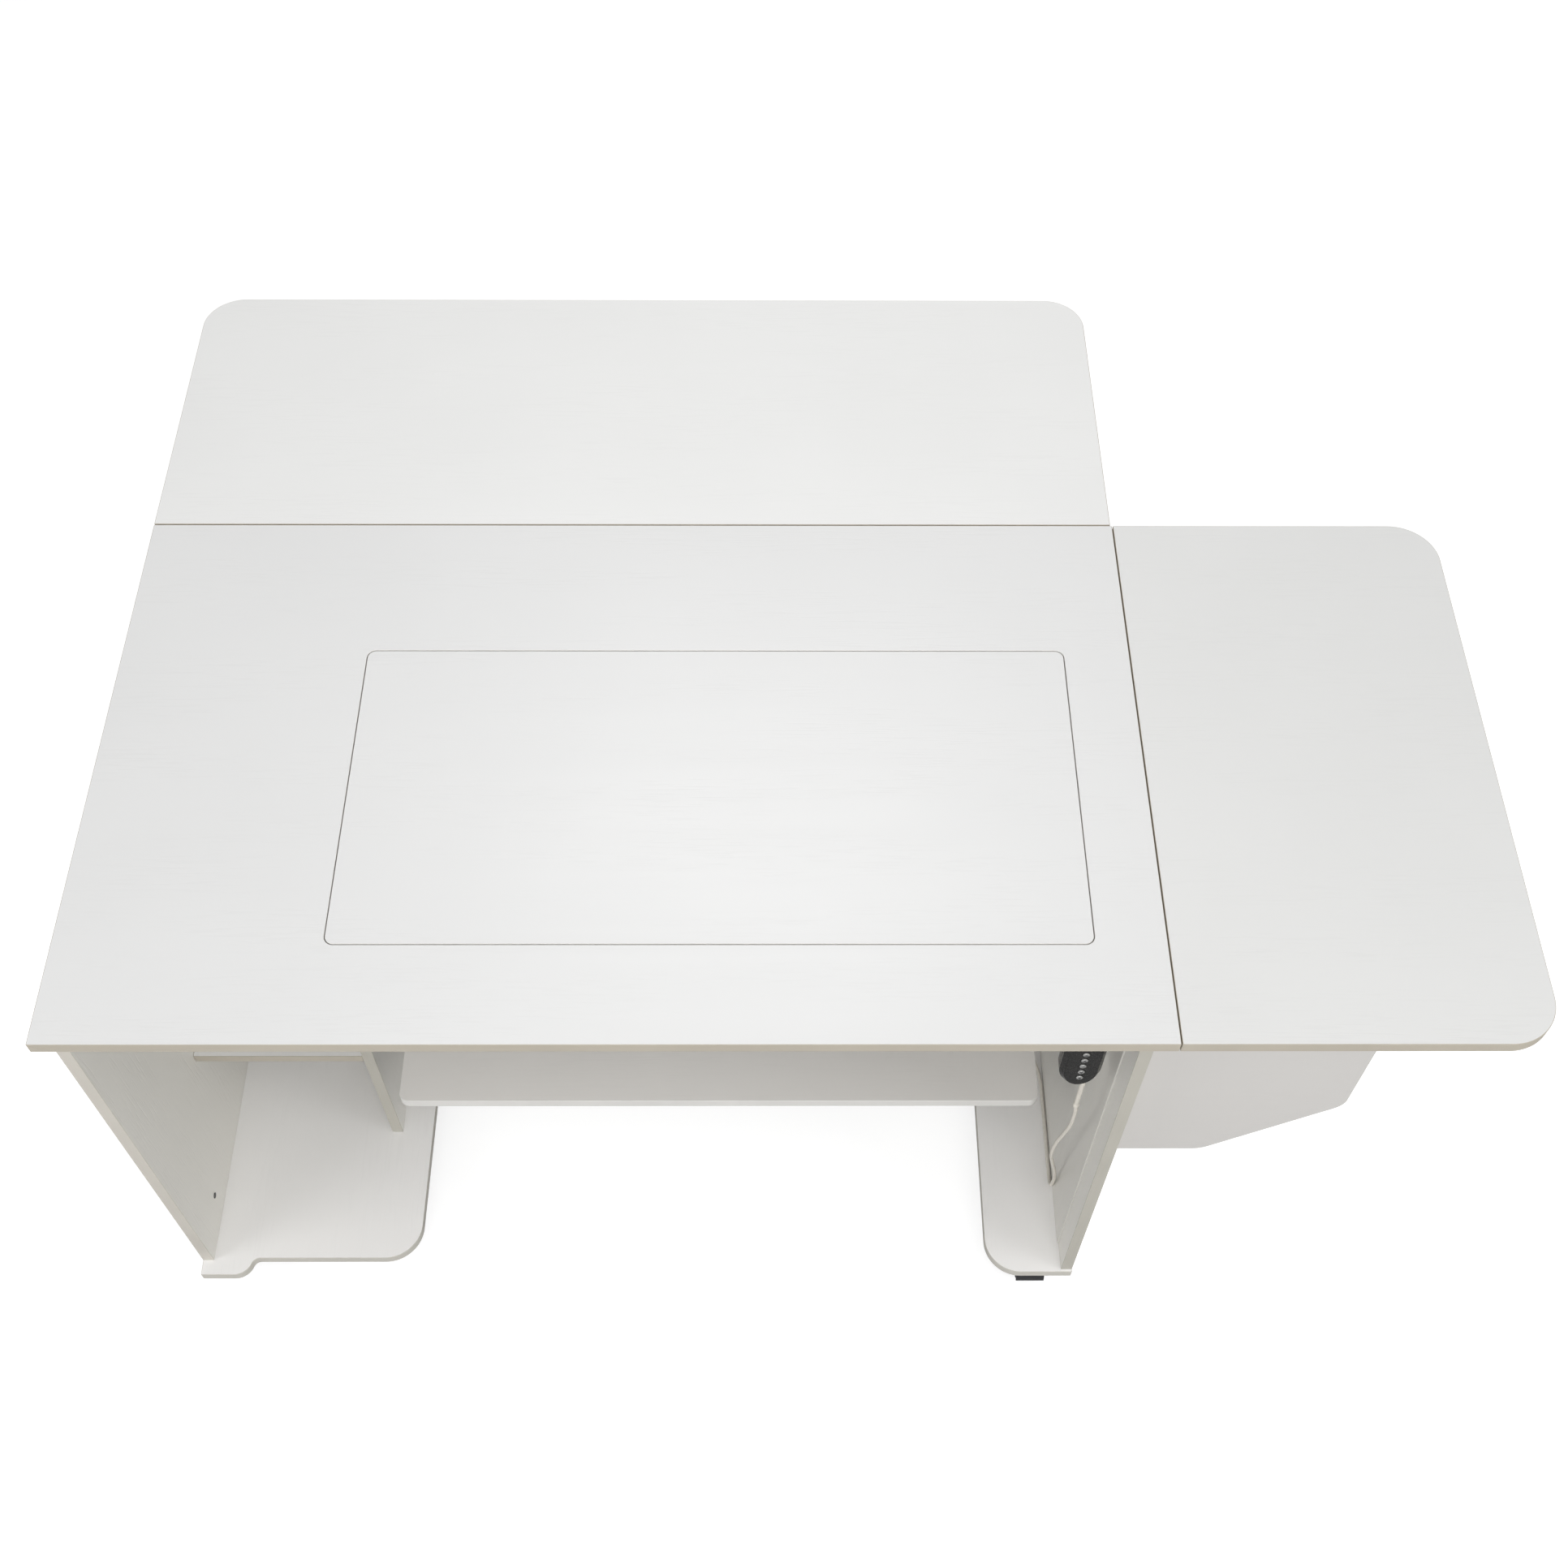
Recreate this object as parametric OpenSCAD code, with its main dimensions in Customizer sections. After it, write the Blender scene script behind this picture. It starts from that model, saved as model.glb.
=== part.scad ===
// Sewing table with an electric machine lift, a rear and a right drop leaf, and a storage compartment.
// Millimetres. Lengths inside the modules run from the front left corner of the main top, at floor level:
// X to the right, Y to the back, Z up. placed() moves the origin to the centre of the footprint.

/* [Tops] */
// Width of the main top
top_w = 1200; // [1150:1:1230]
// Depth of the main top
top_d = 720; // [715:1:760]
// Height of the tabletop above the floor
table_h = 762; // [755:1:790]
// Thickness of the tops and of the platform
top_t = 16; // [15:1:19]
// Width of the right leaf
right_leaf_w = 400.8; // [340.8:1:450.8]
// Depth of the rear leaf
rear_leaf_d = 412.8; // [330.8:1:420.8]
// Corner radius of the leaves
leaf_r = 52; // [20:1:80]
// Gap along the leaf seams
seam = 1.2; // [1.2:0.1:2]

/* [Machine opening] */
// Left edge of the opening
open_x = 291.5; // [280:0.5:300]
// Front edge of the opening
open_y = 119; // [110:1:125]
// Width of the opening
open_w = 830.5; // [825:0.5:840]
// Depth of the opening
open_d = 401.5; // [396:0.5:405]
// Corner radius of the opening
open_r = 11; // [6:1:16]
// Gap around the insert
insert_gap = 1; // [1:0.5:3]

/* [Cabinet] */
// Thickness of the cabinet boards
board_t = 15; // [15:1:16]
// Gap between the top's left edge and the left side panel
left_inset = 5.5; // [4:0.5:8]
// Overhang of the top past the right side panel
right_overhang = 21.5; // [21.5:0.5:23]
// Distance of the left panel's front edge from the top's front edge
left_setback = 25; // [20:1:30]
// Distance of the right panel's front edge from the top's front edge
right_setback = 11; // [9:1:20]
// Depth at which the side panels end
panel_back = 700; // [698:1:703]
// Left face of the divider
divider_x = 240; // [232:1:244]
// Front edge of the divider and the shelf
divider_y = 211; // [190:1:230]
// Underside of the shelf above the floor
shelf_z = 288; // [240:1:420]
// Height of the casters
caster_h = 48; // [48:1:52]

/* [Lift] */
// Underside of the platform at its lowest position
platform_z = 326; // [326:1:335]
// Width of the platform
platform_w = 808; // [780:1:808]
// Gap between the opening's edge and the platform's edge, front and back
platform_gap = 11; // [8:1:14]
// Radius of the lift screw
screw_r = 8; // [6:0.5:8]

/* [Leaf bracket] */
// Reach of the swing bracket from its side panel
bracket_reach = 261; // [200:1:262]
// Front face of the swing bracket
bracket_y = 45; // [40:1:50]

/* [Hidden] */

$fn = 64;
// Small overlap that joins shapes or clears a cut
eps = 0.01;
// Running clearance of a pin in its bore
run = 0.05;

span_x = top_w + seam + right_leaf_w;
span_y = top_d + seam + rear_leaf_d;

under = table_h - top_t;
base_top = caster_h + board_t;
panel_h = under - base_top;
left_in = left_inset + board_t;
right_out = top_w - right_overhang;
right_in = right_out - board_t;
inner_w = right_in - left_in;

left_base_w = 291.5;
left_base_y = 28;
right_base_x = 1063;
right_base_y = 7.5;
base_r = 47;
tab_y = 5;
tab_x = 50;
tab_fillet = 10;

back_y = 540;
back_z = 160;
apron_y = 680;
apron_z = 560;
stretcher_y = 600;
stretcher_h = 90;
liner_t = 2;
liner_y = 47;
back_board_t = 6;

tab_t = 3;
tab_reach = 14;
tab_grip = 18;

open_cx = open_x + open_w / 2;
platform_x = open_cx - platform_w / 2;
platform_y = open_y + platform_gap;
platform_d = open_d - 2 * platform_gap;
platform_r = 12;

// Rails, arms and slider blocks
rail_off = 277;
rail_w = 34;
rail_d = 24;
rail_t = 2.5;
rail_z = 240;
rail_slot = 12;
rail_y = back_y - rail_d;
flange_t = 4;
flange_w = 30;
flange_h = 84;
flange_y = rail_y - 8;
arm_l = 280;
web_t = 3;
web_h = 46;
block_h = 74;
bar_size = 25;
bar_wall = 2;
bar_z = platform_z - 79;

// Screw, nut, gearbox and motor
screw_y = back_y - 18;
nut_w = 42;
nut_h = 31;
gearbox_w = 54;
gearbox_z = 165;
gearbox_h = 73;
screw_in = 24;
bearing_h = 20;
bearing_w = 40;
bearing_d = 29;
gearbox_d = 40;
motor_r = 24;
motor_l = 110;
motor_z = 195;
motor_y = back_y - 25;

// Control box on the right base board
box_x = 1075;
box_y = 400;
box_w = 75;
box_d = 130;
box_h = 52;
box_lid = 4;
box_wall = 2.5;
plug_x = 1130;
plug_z = 80;
plug_l = 28;
plug_r = 6;
inlet_w = 28;
inlet_h = 20;

// Handset and its cord
hand_x = 1119;
hand_w = 47;
hand_z = 576;
hand_l = 158;
hand_low_h = 36;
hand_top_r = 8;
hand_y = 40;
hand_front_t = 10;
hand_back_t = 12;
hand_wall = 2;
button_r = 4;
button_l = 6;
button_proud = 1.5;
button_z = 600;
button_pitch = 14.2;
cord_r = 2.5;
relief_x = hand_x + 10;
relief_l = 69;
relief_in = 9;
relief_r = 3.2;
collar_l = 7;
collar_r = 3.7;
hand_mid = hand_y + hand_front_t + 1;
handset_route = [
    [1129, 51, 500], [1130.5, 51, 488], [1132, 54, 459], [1133, 60, 422], [1132, 70, 375],
    [1131, 80, 331], [1131.5, 88, 287], [1134.5, 95, 251], [1141, 101, 214], [1149, 108, 173],
    [1155, 115, 133], [1157.5, 121, 102], [1158, 125, 83], [1158, 131, 71], [1158, 142, 66],
    [1158, 160, 66], [1158, 203, 66], [1158, 260, 66], [1157, 290, 67], [1150, 318, 70],
    [1140, 342, 76], [1132, 360, 80], [1130, 372, 80]
];
motor_route = [
    [844, 515, 195], [862, 515, 195], [885, 522, 190], [915, 531, 182], [950, 534, 176],
    [985, 534, 170], [1015, 532, 155], [1038, 526, 128], [1056, 516, 100], [1065, 512, 92], [1075, 512, 90]
];
motor_cable_r = 2.5;

// Leaf hinges: the pin lies just under the seam
hinge_drop = 4;
hinge_z = under - hinge_drop;
knuckle_r = 3.8;
pin_r = 1.9;
plate_t = 1.6;
plate_w = 21;
hinge_l = 60;
knuckles = 5;
knuckle_gap = 0.3;
rear_hinge_x = [60, 570, 1078];
right_hinge_y = [95, 430, 610];
rear_axis_y = top_d + seam / 2;
right_axis_x = top_w + seam / 2;

// Swing bracket and its piano hinge
bracket_top = under - 14;
bracket_gap = 2;
bracket_x = right_out + bracket_gap;
bracket_edge_z = 527;
bracket_low_z = 389;
bracket_toe = 133;
bracket_round = 30;
piano_r = 2.6;
piano_pin = 1.2;
piano_plate_t = 1.2;
piano_plate_w = 20;
piano_z = 410;
piano_l = 300;
piano_knuckles = 11;
piano_axis_x = right_out + 2.7;
piano_axis_y = bracket_y + board_t + 2.7;
pad_r = 8;
pad_gap = 0.3;

// Folding stays of the rear leaf
stay_x = [200, 1000];
stay_plate_y = apron_y + board_t;
stay_pivot_y = stay_plate_y + 11;
stay_pivot_z = 632;
stay_l = 160;
stay_tip_z = hinge_z - 4;
strut_w = 8;
strut_r = 4;
stay_pin_r = 2.5;
arm_w = 16;
arm_h = 12;
arm_wall = 2;
arm_web = 2.5;
stay_arm_l = 290;
ear_t = 2.5;

// Casters: stem position of each, and which way its wheels trail
wheel_r = 20;
wheel_w = 12;
wheel_in = 6;
trail = 14;
axle_r = 3;
stem_r = 5;
caster_x = [46, 1126, 46, 1126];
caster_y = [62, 47, 650, 650];
caster_trail = [1, -1, 1, 1];

board_white = [0.93, 0.93, 0.92];
shade_white = [0.88, 0.88, 0.86];
steel = [0.72, 0.73, 0.75];
grey_paint = [0.55, 0.56, 0.58];
soft_black = [0.06, 0.06, 0.07];
cord_white = [0.82, 0.81, 0.78];

// ---- Shared shapes ----

module placed() {
    translate([-span_x / 2, -span_y / 2, 0]) children();
}

// The waste outside one rounded corner, for a corner at the origin that opens towards +X and +Y
module corner_waste(r) {
    difference() {
        translate([-1, -1]) square([r + 1, r + 1]);
        translate([r, r]) circle(r, $fn = 96);
    }
}

// A rectangle whose corners have the radii r = [front left, front right, back right, back left]
module outline(w, d, r = [0, 0, 0, 0]) {
    difference() {
        square([w, d]);
        if (r[0] > 0) corner_waste(r[0]);
        if (r[1] > 0) translate([w, 0]) mirror([1, 0]) corner_waste(r[1]);
        if (r[2] > 0) translate([w, d]) mirror([1, 0]) mirror([0, 1]) corner_waste(r[2]);
        if (r[3] > 0) translate([0, d]) mirror([0, 1]) corner_waste(r[3]);
    }
}

module flat_board(x, y, z, w, d, t, r = [0, 0, 0, 0]) {
    translate([x, y, z]) linear_extrude(t) outline(w, d, r);
}

// A cylinder along X that starts at the origin
module rod_x(r, l) {
    rotate([0, 90, 0]) cylinder(r = r, h = l);
}

// A cylinder along Y that starts at the origin
module rod_y(r, l) {
    rotate([-90, 0, 0]) cylinder(r = r, h = l);
}

// Knuckles and plate of one hinge leaf. The pin runs along +X from the origin.
// The plate lies on the +Y side, z above the pin.
// first is 0 for the leaf that has the outer knuckles and 1 for the other.
module hinge_leaf(l, count, first, r, pin, plate, width, z) {
    step = l / count;
    difference() {
        union() {
            for (i = [first : 2 : count - 1]) {
                translate([i * step + knuckle_gap / 2, 0, 0]) rod_x(r, step - knuckle_gap);
                translate([i * step + knuckle_gap / 2, 0, z]) cube([step - knuckle_gap, r + 1, plate]);
            }
            translate([0, r + 0.4, z]) cube([l, width - r, plate]);
        }
        translate([-1, 0, 0]) rod_x(pin + run, l + 2);
    }
}

module leaf_hinge_half(first) {
    hinge_leaf(hinge_l, knuckles, first, knuckle_r, pin_r, plate_t, plate_w, hinge_drop - plate_t);
}

// Puts a hinge built along +X at a rear hinge position, its plate towards the leaf or, when turned, the top
module at_rear_hinge(x, turned) {
    translate([x, rear_axis_y, hinge_z]) {
        if (turned) mirror([0, 1, 0]) children();
        else children();
    }
}

// The same for a right hinge, whose pin runs along Y
module at_right_hinge(y, turned) {
    translate([right_axis_x, y, hinge_z]) {
        if (turned) rotate([0, 0, 90]) children();
        else mirror([1, 0, 0]) rotate([0, 0, 90]) children();
    }
}

// ---- Cords ----

function unit(v) = v / norm(v);

// Points on a smooth curve through the route, steps of them for each span
function smooth(p, steps) = [
    for (i = [0 : len(p) - 2], k = [0 : steps - 1])
        let (
            t = k / steps,
            a = p[max(i - 1, 0)],
            b = p[i],
            c = p[i + 1],
            d = p[min(i + 2, len(p) - 1)]
        )
        0.5 * (2 * b + (c - a) * t + (2 * a - 5 * b + 4 * c - d) * t ^ 2 + (3 * b - a - 3 * c + d) * t ^ 3),
    p[len(p) - 1]
];

function tangents(q) = [
    for (i = [0 : len(q) - 1]) unit(q[min(i + 1, len(q) - 1)] - q[max(i - 1, 0)])
];

// A sideways direction for each ring, carried along the curve without twist
function carried(t, u, i = 0) =
    i == len(t) ? [] : let (v = unit(u - (u * t[i]) * t[i])) concat([v], carried(t, v, i + 1));

module tube(route, r, steps, sides = 8) {
    q = smooth(route, steps);
    t = tangents(q);
    u = carried(t, [1, 0.2, 0.1]);
    n = len(q);
    points = [
        for (i = [0 : n - 1], k = [0 : sides - 1])
            q[i] + r * (cos(360 * k / sides) * u[i] + sin(360 * k / sides) * cross(t[i], u[i]))
    ];
    walls = [
        for (i = [0 : n - 2], k = [0 : sides - 1], half = [0, 1])
            let (m = (k + 1) % sides)
            half == 0
                ? [i * sides + k, (i + 1) * sides + m, i * sides + m]
                : [i * sides + k, (i + 1) * sides + k, (i + 1) * sides + m]
    ];
    start = [for (k = [0 : sides - 1]) k];
    finish = [for (k = [sides - 1 : -1 : 0]) (n - 1) * sides + k];
    polyhedron(points, concat(walls, [start, finish]));
}

// ---- Tops ----

module main_top() {
    color(board_white) placed()
        difference() {
            flat_board(0, 0, under, top_w, top_d, top_t);
            flat_board(
                open_x, open_y, under - 1,
                open_w, open_d, top_t + 2, [open_r, open_r, open_r, open_r]
            );
        }
}

module insert_panel() {
    r = open_r - insert_gap;
    color(board_white) placed()
        flat_board(
            open_x + insert_gap, open_y + insert_gap, under,
            open_w - 2 * insert_gap, open_d - 2 * insert_gap, top_t, [r, r, r, r]
        );
}

module rear_leaf() {
    color(board_white) placed()
        flat_board(0, top_d + seam, under, top_w - 2, rear_leaf_d, top_t, [0, 0, leaf_r, leaf_r]);
}

module right_leaf() {
    color(board_white) placed()
        flat_board(top_w + seam, 0, under, right_leaf_w, top_d, top_t, [0, leaf_r + 4, leaf_r + 4, 0]);
}

// Steel angles under the opening's edge that the insert rests on
module insert_tabs() {
    places = [
        [open_x + 130, open_y, 0], [open_x + open_w - 130, open_y, 0],
        [open_x + 130, open_y + open_d, 180], [open_x + open_w - 130, open_y + open_d, 180],
        [open_x, open_y + open_d / 2, -90], [open_x + open_w, open_y + open_d / 2, 90]
    ];
    color(steel) placed()
        for (p = places)
            translate([p[0], p[1], under - tab_t]) rotate([0, 0, p[2]])
                translate([-20, -tab_grip, 0]) cube([40, tab_grip + tab_reach, tab_t]);
}

// ---- Cabinet ----

module left_side_panel() {
    color(board_white) placed()
        translate([left_inset, left_setback, base_top]) cube([board_t, panel_back - left_setback, panel_h]);
}

module right_side_panel() {
    color(board_white) placed()
        translate([right_in, right_setback, base_top]) cube([board_t, panel_back - right_setback, panel_h]);
}

module divider_panel() {
    color(board_white) placed()
        translate([divider_x, divider_y, base_top]) cube([board_t, stretcher_y - divider_y, panel_h]);
}

// The tab in front of the left side panel, with a rounded right end
module base_tab() {
    r = left_base_y - tab_y;
    translate([left_inset, tab_y]) square([tab_x - left_inset, r + 1]);
    intersection() {
        translate([tab_x, left_base_y]) circle(r, $fn = 48);
        translate([tab_x - 1, tab_y]) square([r + 2, r + 1]);
    }
}

// The offsets fill the inner corner beside the tab with a round
module left_base_board() {
    color(board_white) placed()
        translate([0, 0, caster_h]) linear_extrude(board_t)
            offset(r = -tab_fillet, $fn = 48) offset(delta = tab_fillet) {
                translate([left_inset, left_base_y])
                    outline(left_base_w, panel_back - left_base_y, [0, base_r, base_r, 0]);
                base_tab();
            }
}

module right_base_board() {
    color(board_white) placed()
        flat_board(
            right_base_x, right_base_y, caster_h,
            right_out - right_base_x, panel_back - right_base_y, board_t, [base_r, 0, 0, base_r]
        );
}

module mid_shelf() {
    color(board_white) placed()
        translate([left_in, divider_y, shelf_z]) cube([divider_x - left_in, back_y - divider_y, board_t]);
}

module back_panel() {
    x = divider_x + board_t;
    color(shade_white) placed()
        translate([x, back_y, back_z]) cube([right_in - x, board_t, under - back_z]);
}

module compartment_back() {
    color(shade_white) placed()
        translate([left_in, back_y, base_top]) cube([divider_x - left_in, back_board_t, panel_h]);
}

module rear_apron() {
    color(board_white) placed()
        translate([left_in, apron_y, apron_z]) cube([inner_w, board_t, under - apron_z]);
}

module base_stretcher() {
    color(board_white) placed()
        translate([left_in, stretcher_y, base_top]) cube([inner_w, board_t, stretcher_h]);
}

module right_liner() {
    color(shade_white) placed()
        translate([right_in - liner_t, liner_y, base_top]) cube([liner_t, back_y - liner_y, panel_h]);
}

// Round cam-lock caps set on the inner faces of the side panels and the divider
module cam_locks() {
    cap_r = 4;
    cap_t = 0.8;
    low = base_top + 48;
    high = under - 34;
    color(soft_black) placed() {
        for (y = [98, 470], z = [low, high]) translate([left_in, y, z]) rod_x(cap_r, cap_t);
        for (y = [300, 470], z = [low, high]) translate([divider_x - cap_t, y, z]) rod_x(cap_r, cap_t);
        for (y = [632, 665], z = [low, high]) {
            translate([left_in, y, z]) rod_x(cap_r, cap_t);
            translate([right_in - cap_t, y, z]) rod_x(cap_r, cap_t);
        }
    }
}

// ---- Lift ----

module at_rails() {
    for (s = [-1, 1]) translate([open_cx + s * rail_off, 0, 0]) children();
}

module machine_platform() {
    r = platform_r;
    color(board_white) placed()
        flat_board(platform_x, platform_y, platform_z, platform_w, platform_d, top_t, [r, r, r, r]);
}

// Upright C-section rails, open to the front
module lift_rails() {
    inner = rail_w / 2 - rail_t;
    color(steel) placed() at_rails()
        translate([0, rail_y, rail_z]) linear_extrude(under - 4 - rail_z)
            difference() {
                translate([-rail_w / 2, 0]) square([rail_w, rail_d]);
                translate([-inner, rail_t]) square([2 * inner, rail_d - 2 * rail_t]);
                translate([-rail_slot / 2, -1]) square([rail_slot, rail_t + 2]);
            }
}

// Upright flange, arm under the platform and the gusset web between them
module carriage_arms() {
    flange_z = platform_z - flange_h;
    color(grey_paint) placed() at_rails() {
        translate([-flange_w / 2, flange_y, flange_z]) cube([flange_w, flange_t, flange_h]);
        translate([-flange_w / 2, flange_y - arm_l, platform_z - flange_t])
            cube([flange_w, arm_l + eps, flange_t]);
        translate([-web_t / 2, flange_y + eps, platform_z - flange_t + eps])
            rotate([0, 90, 0]) rotate([0, 0, 90]) linear_extrude(web_t)
                polygon([[0, 0], [-arm_l + 20, 0], [-arm_l + 20, -4], [0, -web_h]]);
    }
}

// Plastic blocks that slide in the rails
module slider_blocks() {
    half = rail_w / 2 - rail_t - 0.5;
    z = platform_z - flange_h + 5;
    color(soft_black) placed() at_rails()
        translate([0, 0, z]) linear_extrude(block_h) {
            translate([-half, rail_y + rail_t + 0.5]) square([2 * half, rail_d - 2 * rail_t - 1]);
            translate([-5, flange_y + flange_t]) square([10, rail_y + rail_t + 1 - flange_y - flange_t]);
        }
}

module cross_bar() {
    l = 2 * rail_off + flange_w;
    hollow = bar_size - 2 * bar_wall;
    color(grey_paint) placed()
        translate([open_cx - l / 2, flange_y - bar_size, bar_z])
            difference() {
                cube([l, bar_size, bar_size]);
                translate([-1, bar_wall, bar_wall]) cube([l + 2, hollow, hollow]);
            }
}

module lift_nut() {
    color(steel) placed()
        difference() {
            translate([open_cx - nut_w / 2, flange_y, bar_z - 3])
                cube([nut_w, screw_y + 14 - flange_y, nut_h]);
            translate([open_cx, screw_y, bar_z - 4]) cylinder(r = screw_r + run, h = nut_h + 2);
        }
}

module lift_screw() {
    z = gearbox_z + gearbox_h - screw_in + 1;
    color(steel) placed()
        translate([open_cx, screw_y, z]) cylinder(r = screw_r, h = under - 6 - z);
}

module screw_bearing() {
    z = under - 4 - bearing_h;
    color(grey_paint) placed()
        difference() {
            translate([open_cx - bearing_w / 2, back_y - bearing_d, z])
                cube([bearing_w, bearing_d, bearing_h]);
            translate([open_cx, screw_y, z - 1]) cylinder(r = screw_r + run, h = bearing_h + 2);
        }
}

module lift_gearbox() {
    color(grey_paint) placed()
        difference() {
            translate([open_cx - gearbox_w / 2, back_y - gearbox_d, gearbox_z])
                cube([gearbox_w, gearbox_d, gearbox_h]);
            translate([open_cx, screw_y, gearbox_z + gearbox_h - screw_in])
                cylinder(r = screw_r + run, h = screw_in + 1);
        }
}

module lift_motor() {
    x = open_cx + gearbox_w / 2;
    color(soft_black) placed() {
        translate([x, motor_y, motor_z]) rod_x(motor_r, motor_l - 8);
        translate([x + motor_l - 8 - eps, motor_y, motor_z]) rod_x(motor_r - 5, 8);
    }
}

module motor_cable() {
    color(soft_black) placed() tube(motor_route, motor_cable_r, 2);
}

// Electronics housing that stands on the right base board, with its mains inlet at the back
module control_box() {
    h = box_h - box_lid;
    color(grey_paint) placed()
        difference() {
            translate([box_x, box_y, base_top]) cube([box_w, box_d, h]);
            translate([box_x + box_wall, box_y + box_wall, base_top + box_wall])
                cube([box_w - 2 * box_wall, box_d - 2 * box_wall, h]);
            translate([box_x + box_w / 2 - inlet_w / 2, box_y + box_d - box_wall - 1, base_top + 12])
                cube([inlet_w, box_wall + 2, inlet_h]);
        }
}

module control_box_lid() {
    color(grey_paint) placed()
        translate([box_x, box_y, base_top + box_h - box_lid]) cube([box_w, box_d, box_lid]);
}

// ---- Handset ----

// Front view of the handset: x across, y upwards from its lower end, which is half an ellipse
module handset_outline(inset = 0) {
    half = hand_w / 2 - inset;
    low = hand_low_h - inset;
    r = hand_top_r - inset;
    top = hand_l - hand_top_r;
    polygon(concat(
        [for (a = [180 : 7.5 : 360]) [half * cos(a), hand_low_h + low * sin(a)]],
        [for (a = [0 : 15 : 90]) [half - r + r * cos(a), top + r * sin(a)]],
        [for (a = [90 : 15 : 180]) [-half + r + r * cos(a), top + r * sin(a)]]
    ));
}

// Notch in the housing's lower end that the strain relief passes through
module relief_notch() {
    translate([relief_x, hand_mid, hand_z - 1]) cylinder(r = relief_r + run, h = relief_in + 2);
}

// Stands an outline up: its x stays across, its y becomes Z, and it grows from y0 towards the back
module upright(y0, t) {
    translate([hand_x, y0 + t, hand_z]) rotate([90, 0, 0]) linear_extrude(t) children();
}

module handset_front() {
    color(soft_black) placed()
        difference() {
            upright(hand_y, hand_front_t) handset_outline();
            upright(hand_y + hand_wall, hand_front_t) handset_outline(hand_wall);
            for (i = [0 : 4])
                translate([hand_x, hand_y - 1, button_z + i * button_pitch])
                    rod_y(button_r + 0.3, hand_wall + 2);
            relief_notch();
        }
}

module handset_back() {
    y = hand_y + hand_front_t;
    color(soft_black) placed()
        difference() {
            upright(y, hand_back_t) handset_outline();
            upright(y - 1, hand_back_t - hand_wall + 1) handset_outline(hand_wall);
            relief_notch();
        }
}

module handset_button(i) {
    color([0.75, 0.76, 0.78]) placed()
        translate([hand_x, hand_y - button_proud, button_z + (i - 1) * button_pitch])
            rod_y(button_r, button_l);
}

// Hook plate under the top that the handset hangs on
module handset_holder() {
    y = hand_y + hand_front_t + hand_back_t + 0.5;
    color(soft_black) placed() {
        translate([hand_x - 20, y, hand_z + 92]) cube([40, 4, under - hand_z - 92]);
        translate([hand_x - 20, y - 20, under - 4]) cube([40, 50, 4]);
    }
}

module handset_cord() {
    color(cord_white) placed() tube(handset_route, cord_r, 3);
}

module cord_strain_relief() {
    color(cord_white) placed()
        translate([relief_x, hand_mid, hand_z - relief_l]) {
            cylinder(r1 = cord_r + 0.4, r2 = relief_r, h = relief_l + relief_in);
            translate([0, 0, -collar_l]) cylinder(r = collar_r, h = collar_l + eps);
        }
}

module cord_plug() {
    color(soft_black) placed() translate([plug_x, box_y - plug_l, plug_z]) rod_y(plug_r, plug_l);
}

// ---- Leaf bracket ----

// Front view of the swing bracket: a panel with its lower outer corner cut off and rounded
module bracket_outline() {
    r = bracket_round;
    w = bracket_reach - bracket_gap;
    h = bracket_top - bracket_low_z;
    edge = bracket_edge_z - bracket_low_z;
    hull() {
        square([10, h]);
        translate([w - 4, h - 4]) circle(4, $fn = 32);
        translate([w - r, edge]) circle(r, $fn = 32);
        translate([bracket_toe - r, r]) circle(r, $fn = 32);
    }
}

module bracket_panel() {
    color(board_white) placed()
        translate([bracket_x, bracket_y + board_t, bracket_low_z]) rotate([90, 0, 0])
            linear_extrude(board_t) bracket_outline();
}

module bracket_pad() {
    color(soft_black) placed()
        translate([right_out + bracket_reach - 22, bracket_y + board_t / 2, bracket_top])
            cylinder(r = pad_r - 1, h = under - bracket_top - pad_gap);
}

// The piano hinge's pin runs up from its origin: its leaf is built along +X and stood on end
module at_piano_hinge() {
    translate([piano_axis_x, piano_axis_y, piano_z]) rotate([0, -90, 0]) children();
}

module piano_leaf(first) {
    z = piano_axis_y - bracket_y - board_t - piano_plate_t;
    hinge_leaf(
        piano_l, piano_knuckles, first, piano_r, piano_pin, piano_plate_t, piano_plate_w, z
    );
}

module bracket_hinge_leaf() {
    color(steel) placed() at_piano_hinge() rotate([-90, 0, 0]) mirror([0, 0, 1]) piano_leaf(1);
}

// ---- Hinges ----

module hinge_fixed_leaves() {
    color(steel) placed() {
        for (x = rear_hinge_x) at_rear_hinge(x, true) leaf_hinge_half(0);
        for (y = right_hinge_y) at_right_hinge(y, true) leaf_hinge_half(0);
        at_piano_hinge() piano_leaf(0);
    }
}

module hinge_pins() {
    color(steel) placed() {
        for (x = rear_hinge_x) at_rear_hinge(x, false) rod_x(pin_r, hinge_l);
        for (y = right_hinge_y) at_right_hinge(y, false) rod_x(pin_r, hinge_l);
        translate([piano_axis_x, piano_axis_y, piano_z]) cylinder(r = piano_pin, h = piano_l);
    }
}

module rear_leaf_hinge_leaves() {
    color(steel) placed() for (x = rear_hinge_x) at_rear_hinge(x, false) leaf_hinge_half(1);
}

module right_leaf_hinge_leaves() {
    color(steel) placed() for (y = right_hinge_y) at_right_hinge(y, false) leaf_hinge_half(1);
}

// ---- Folding stays ----

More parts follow.
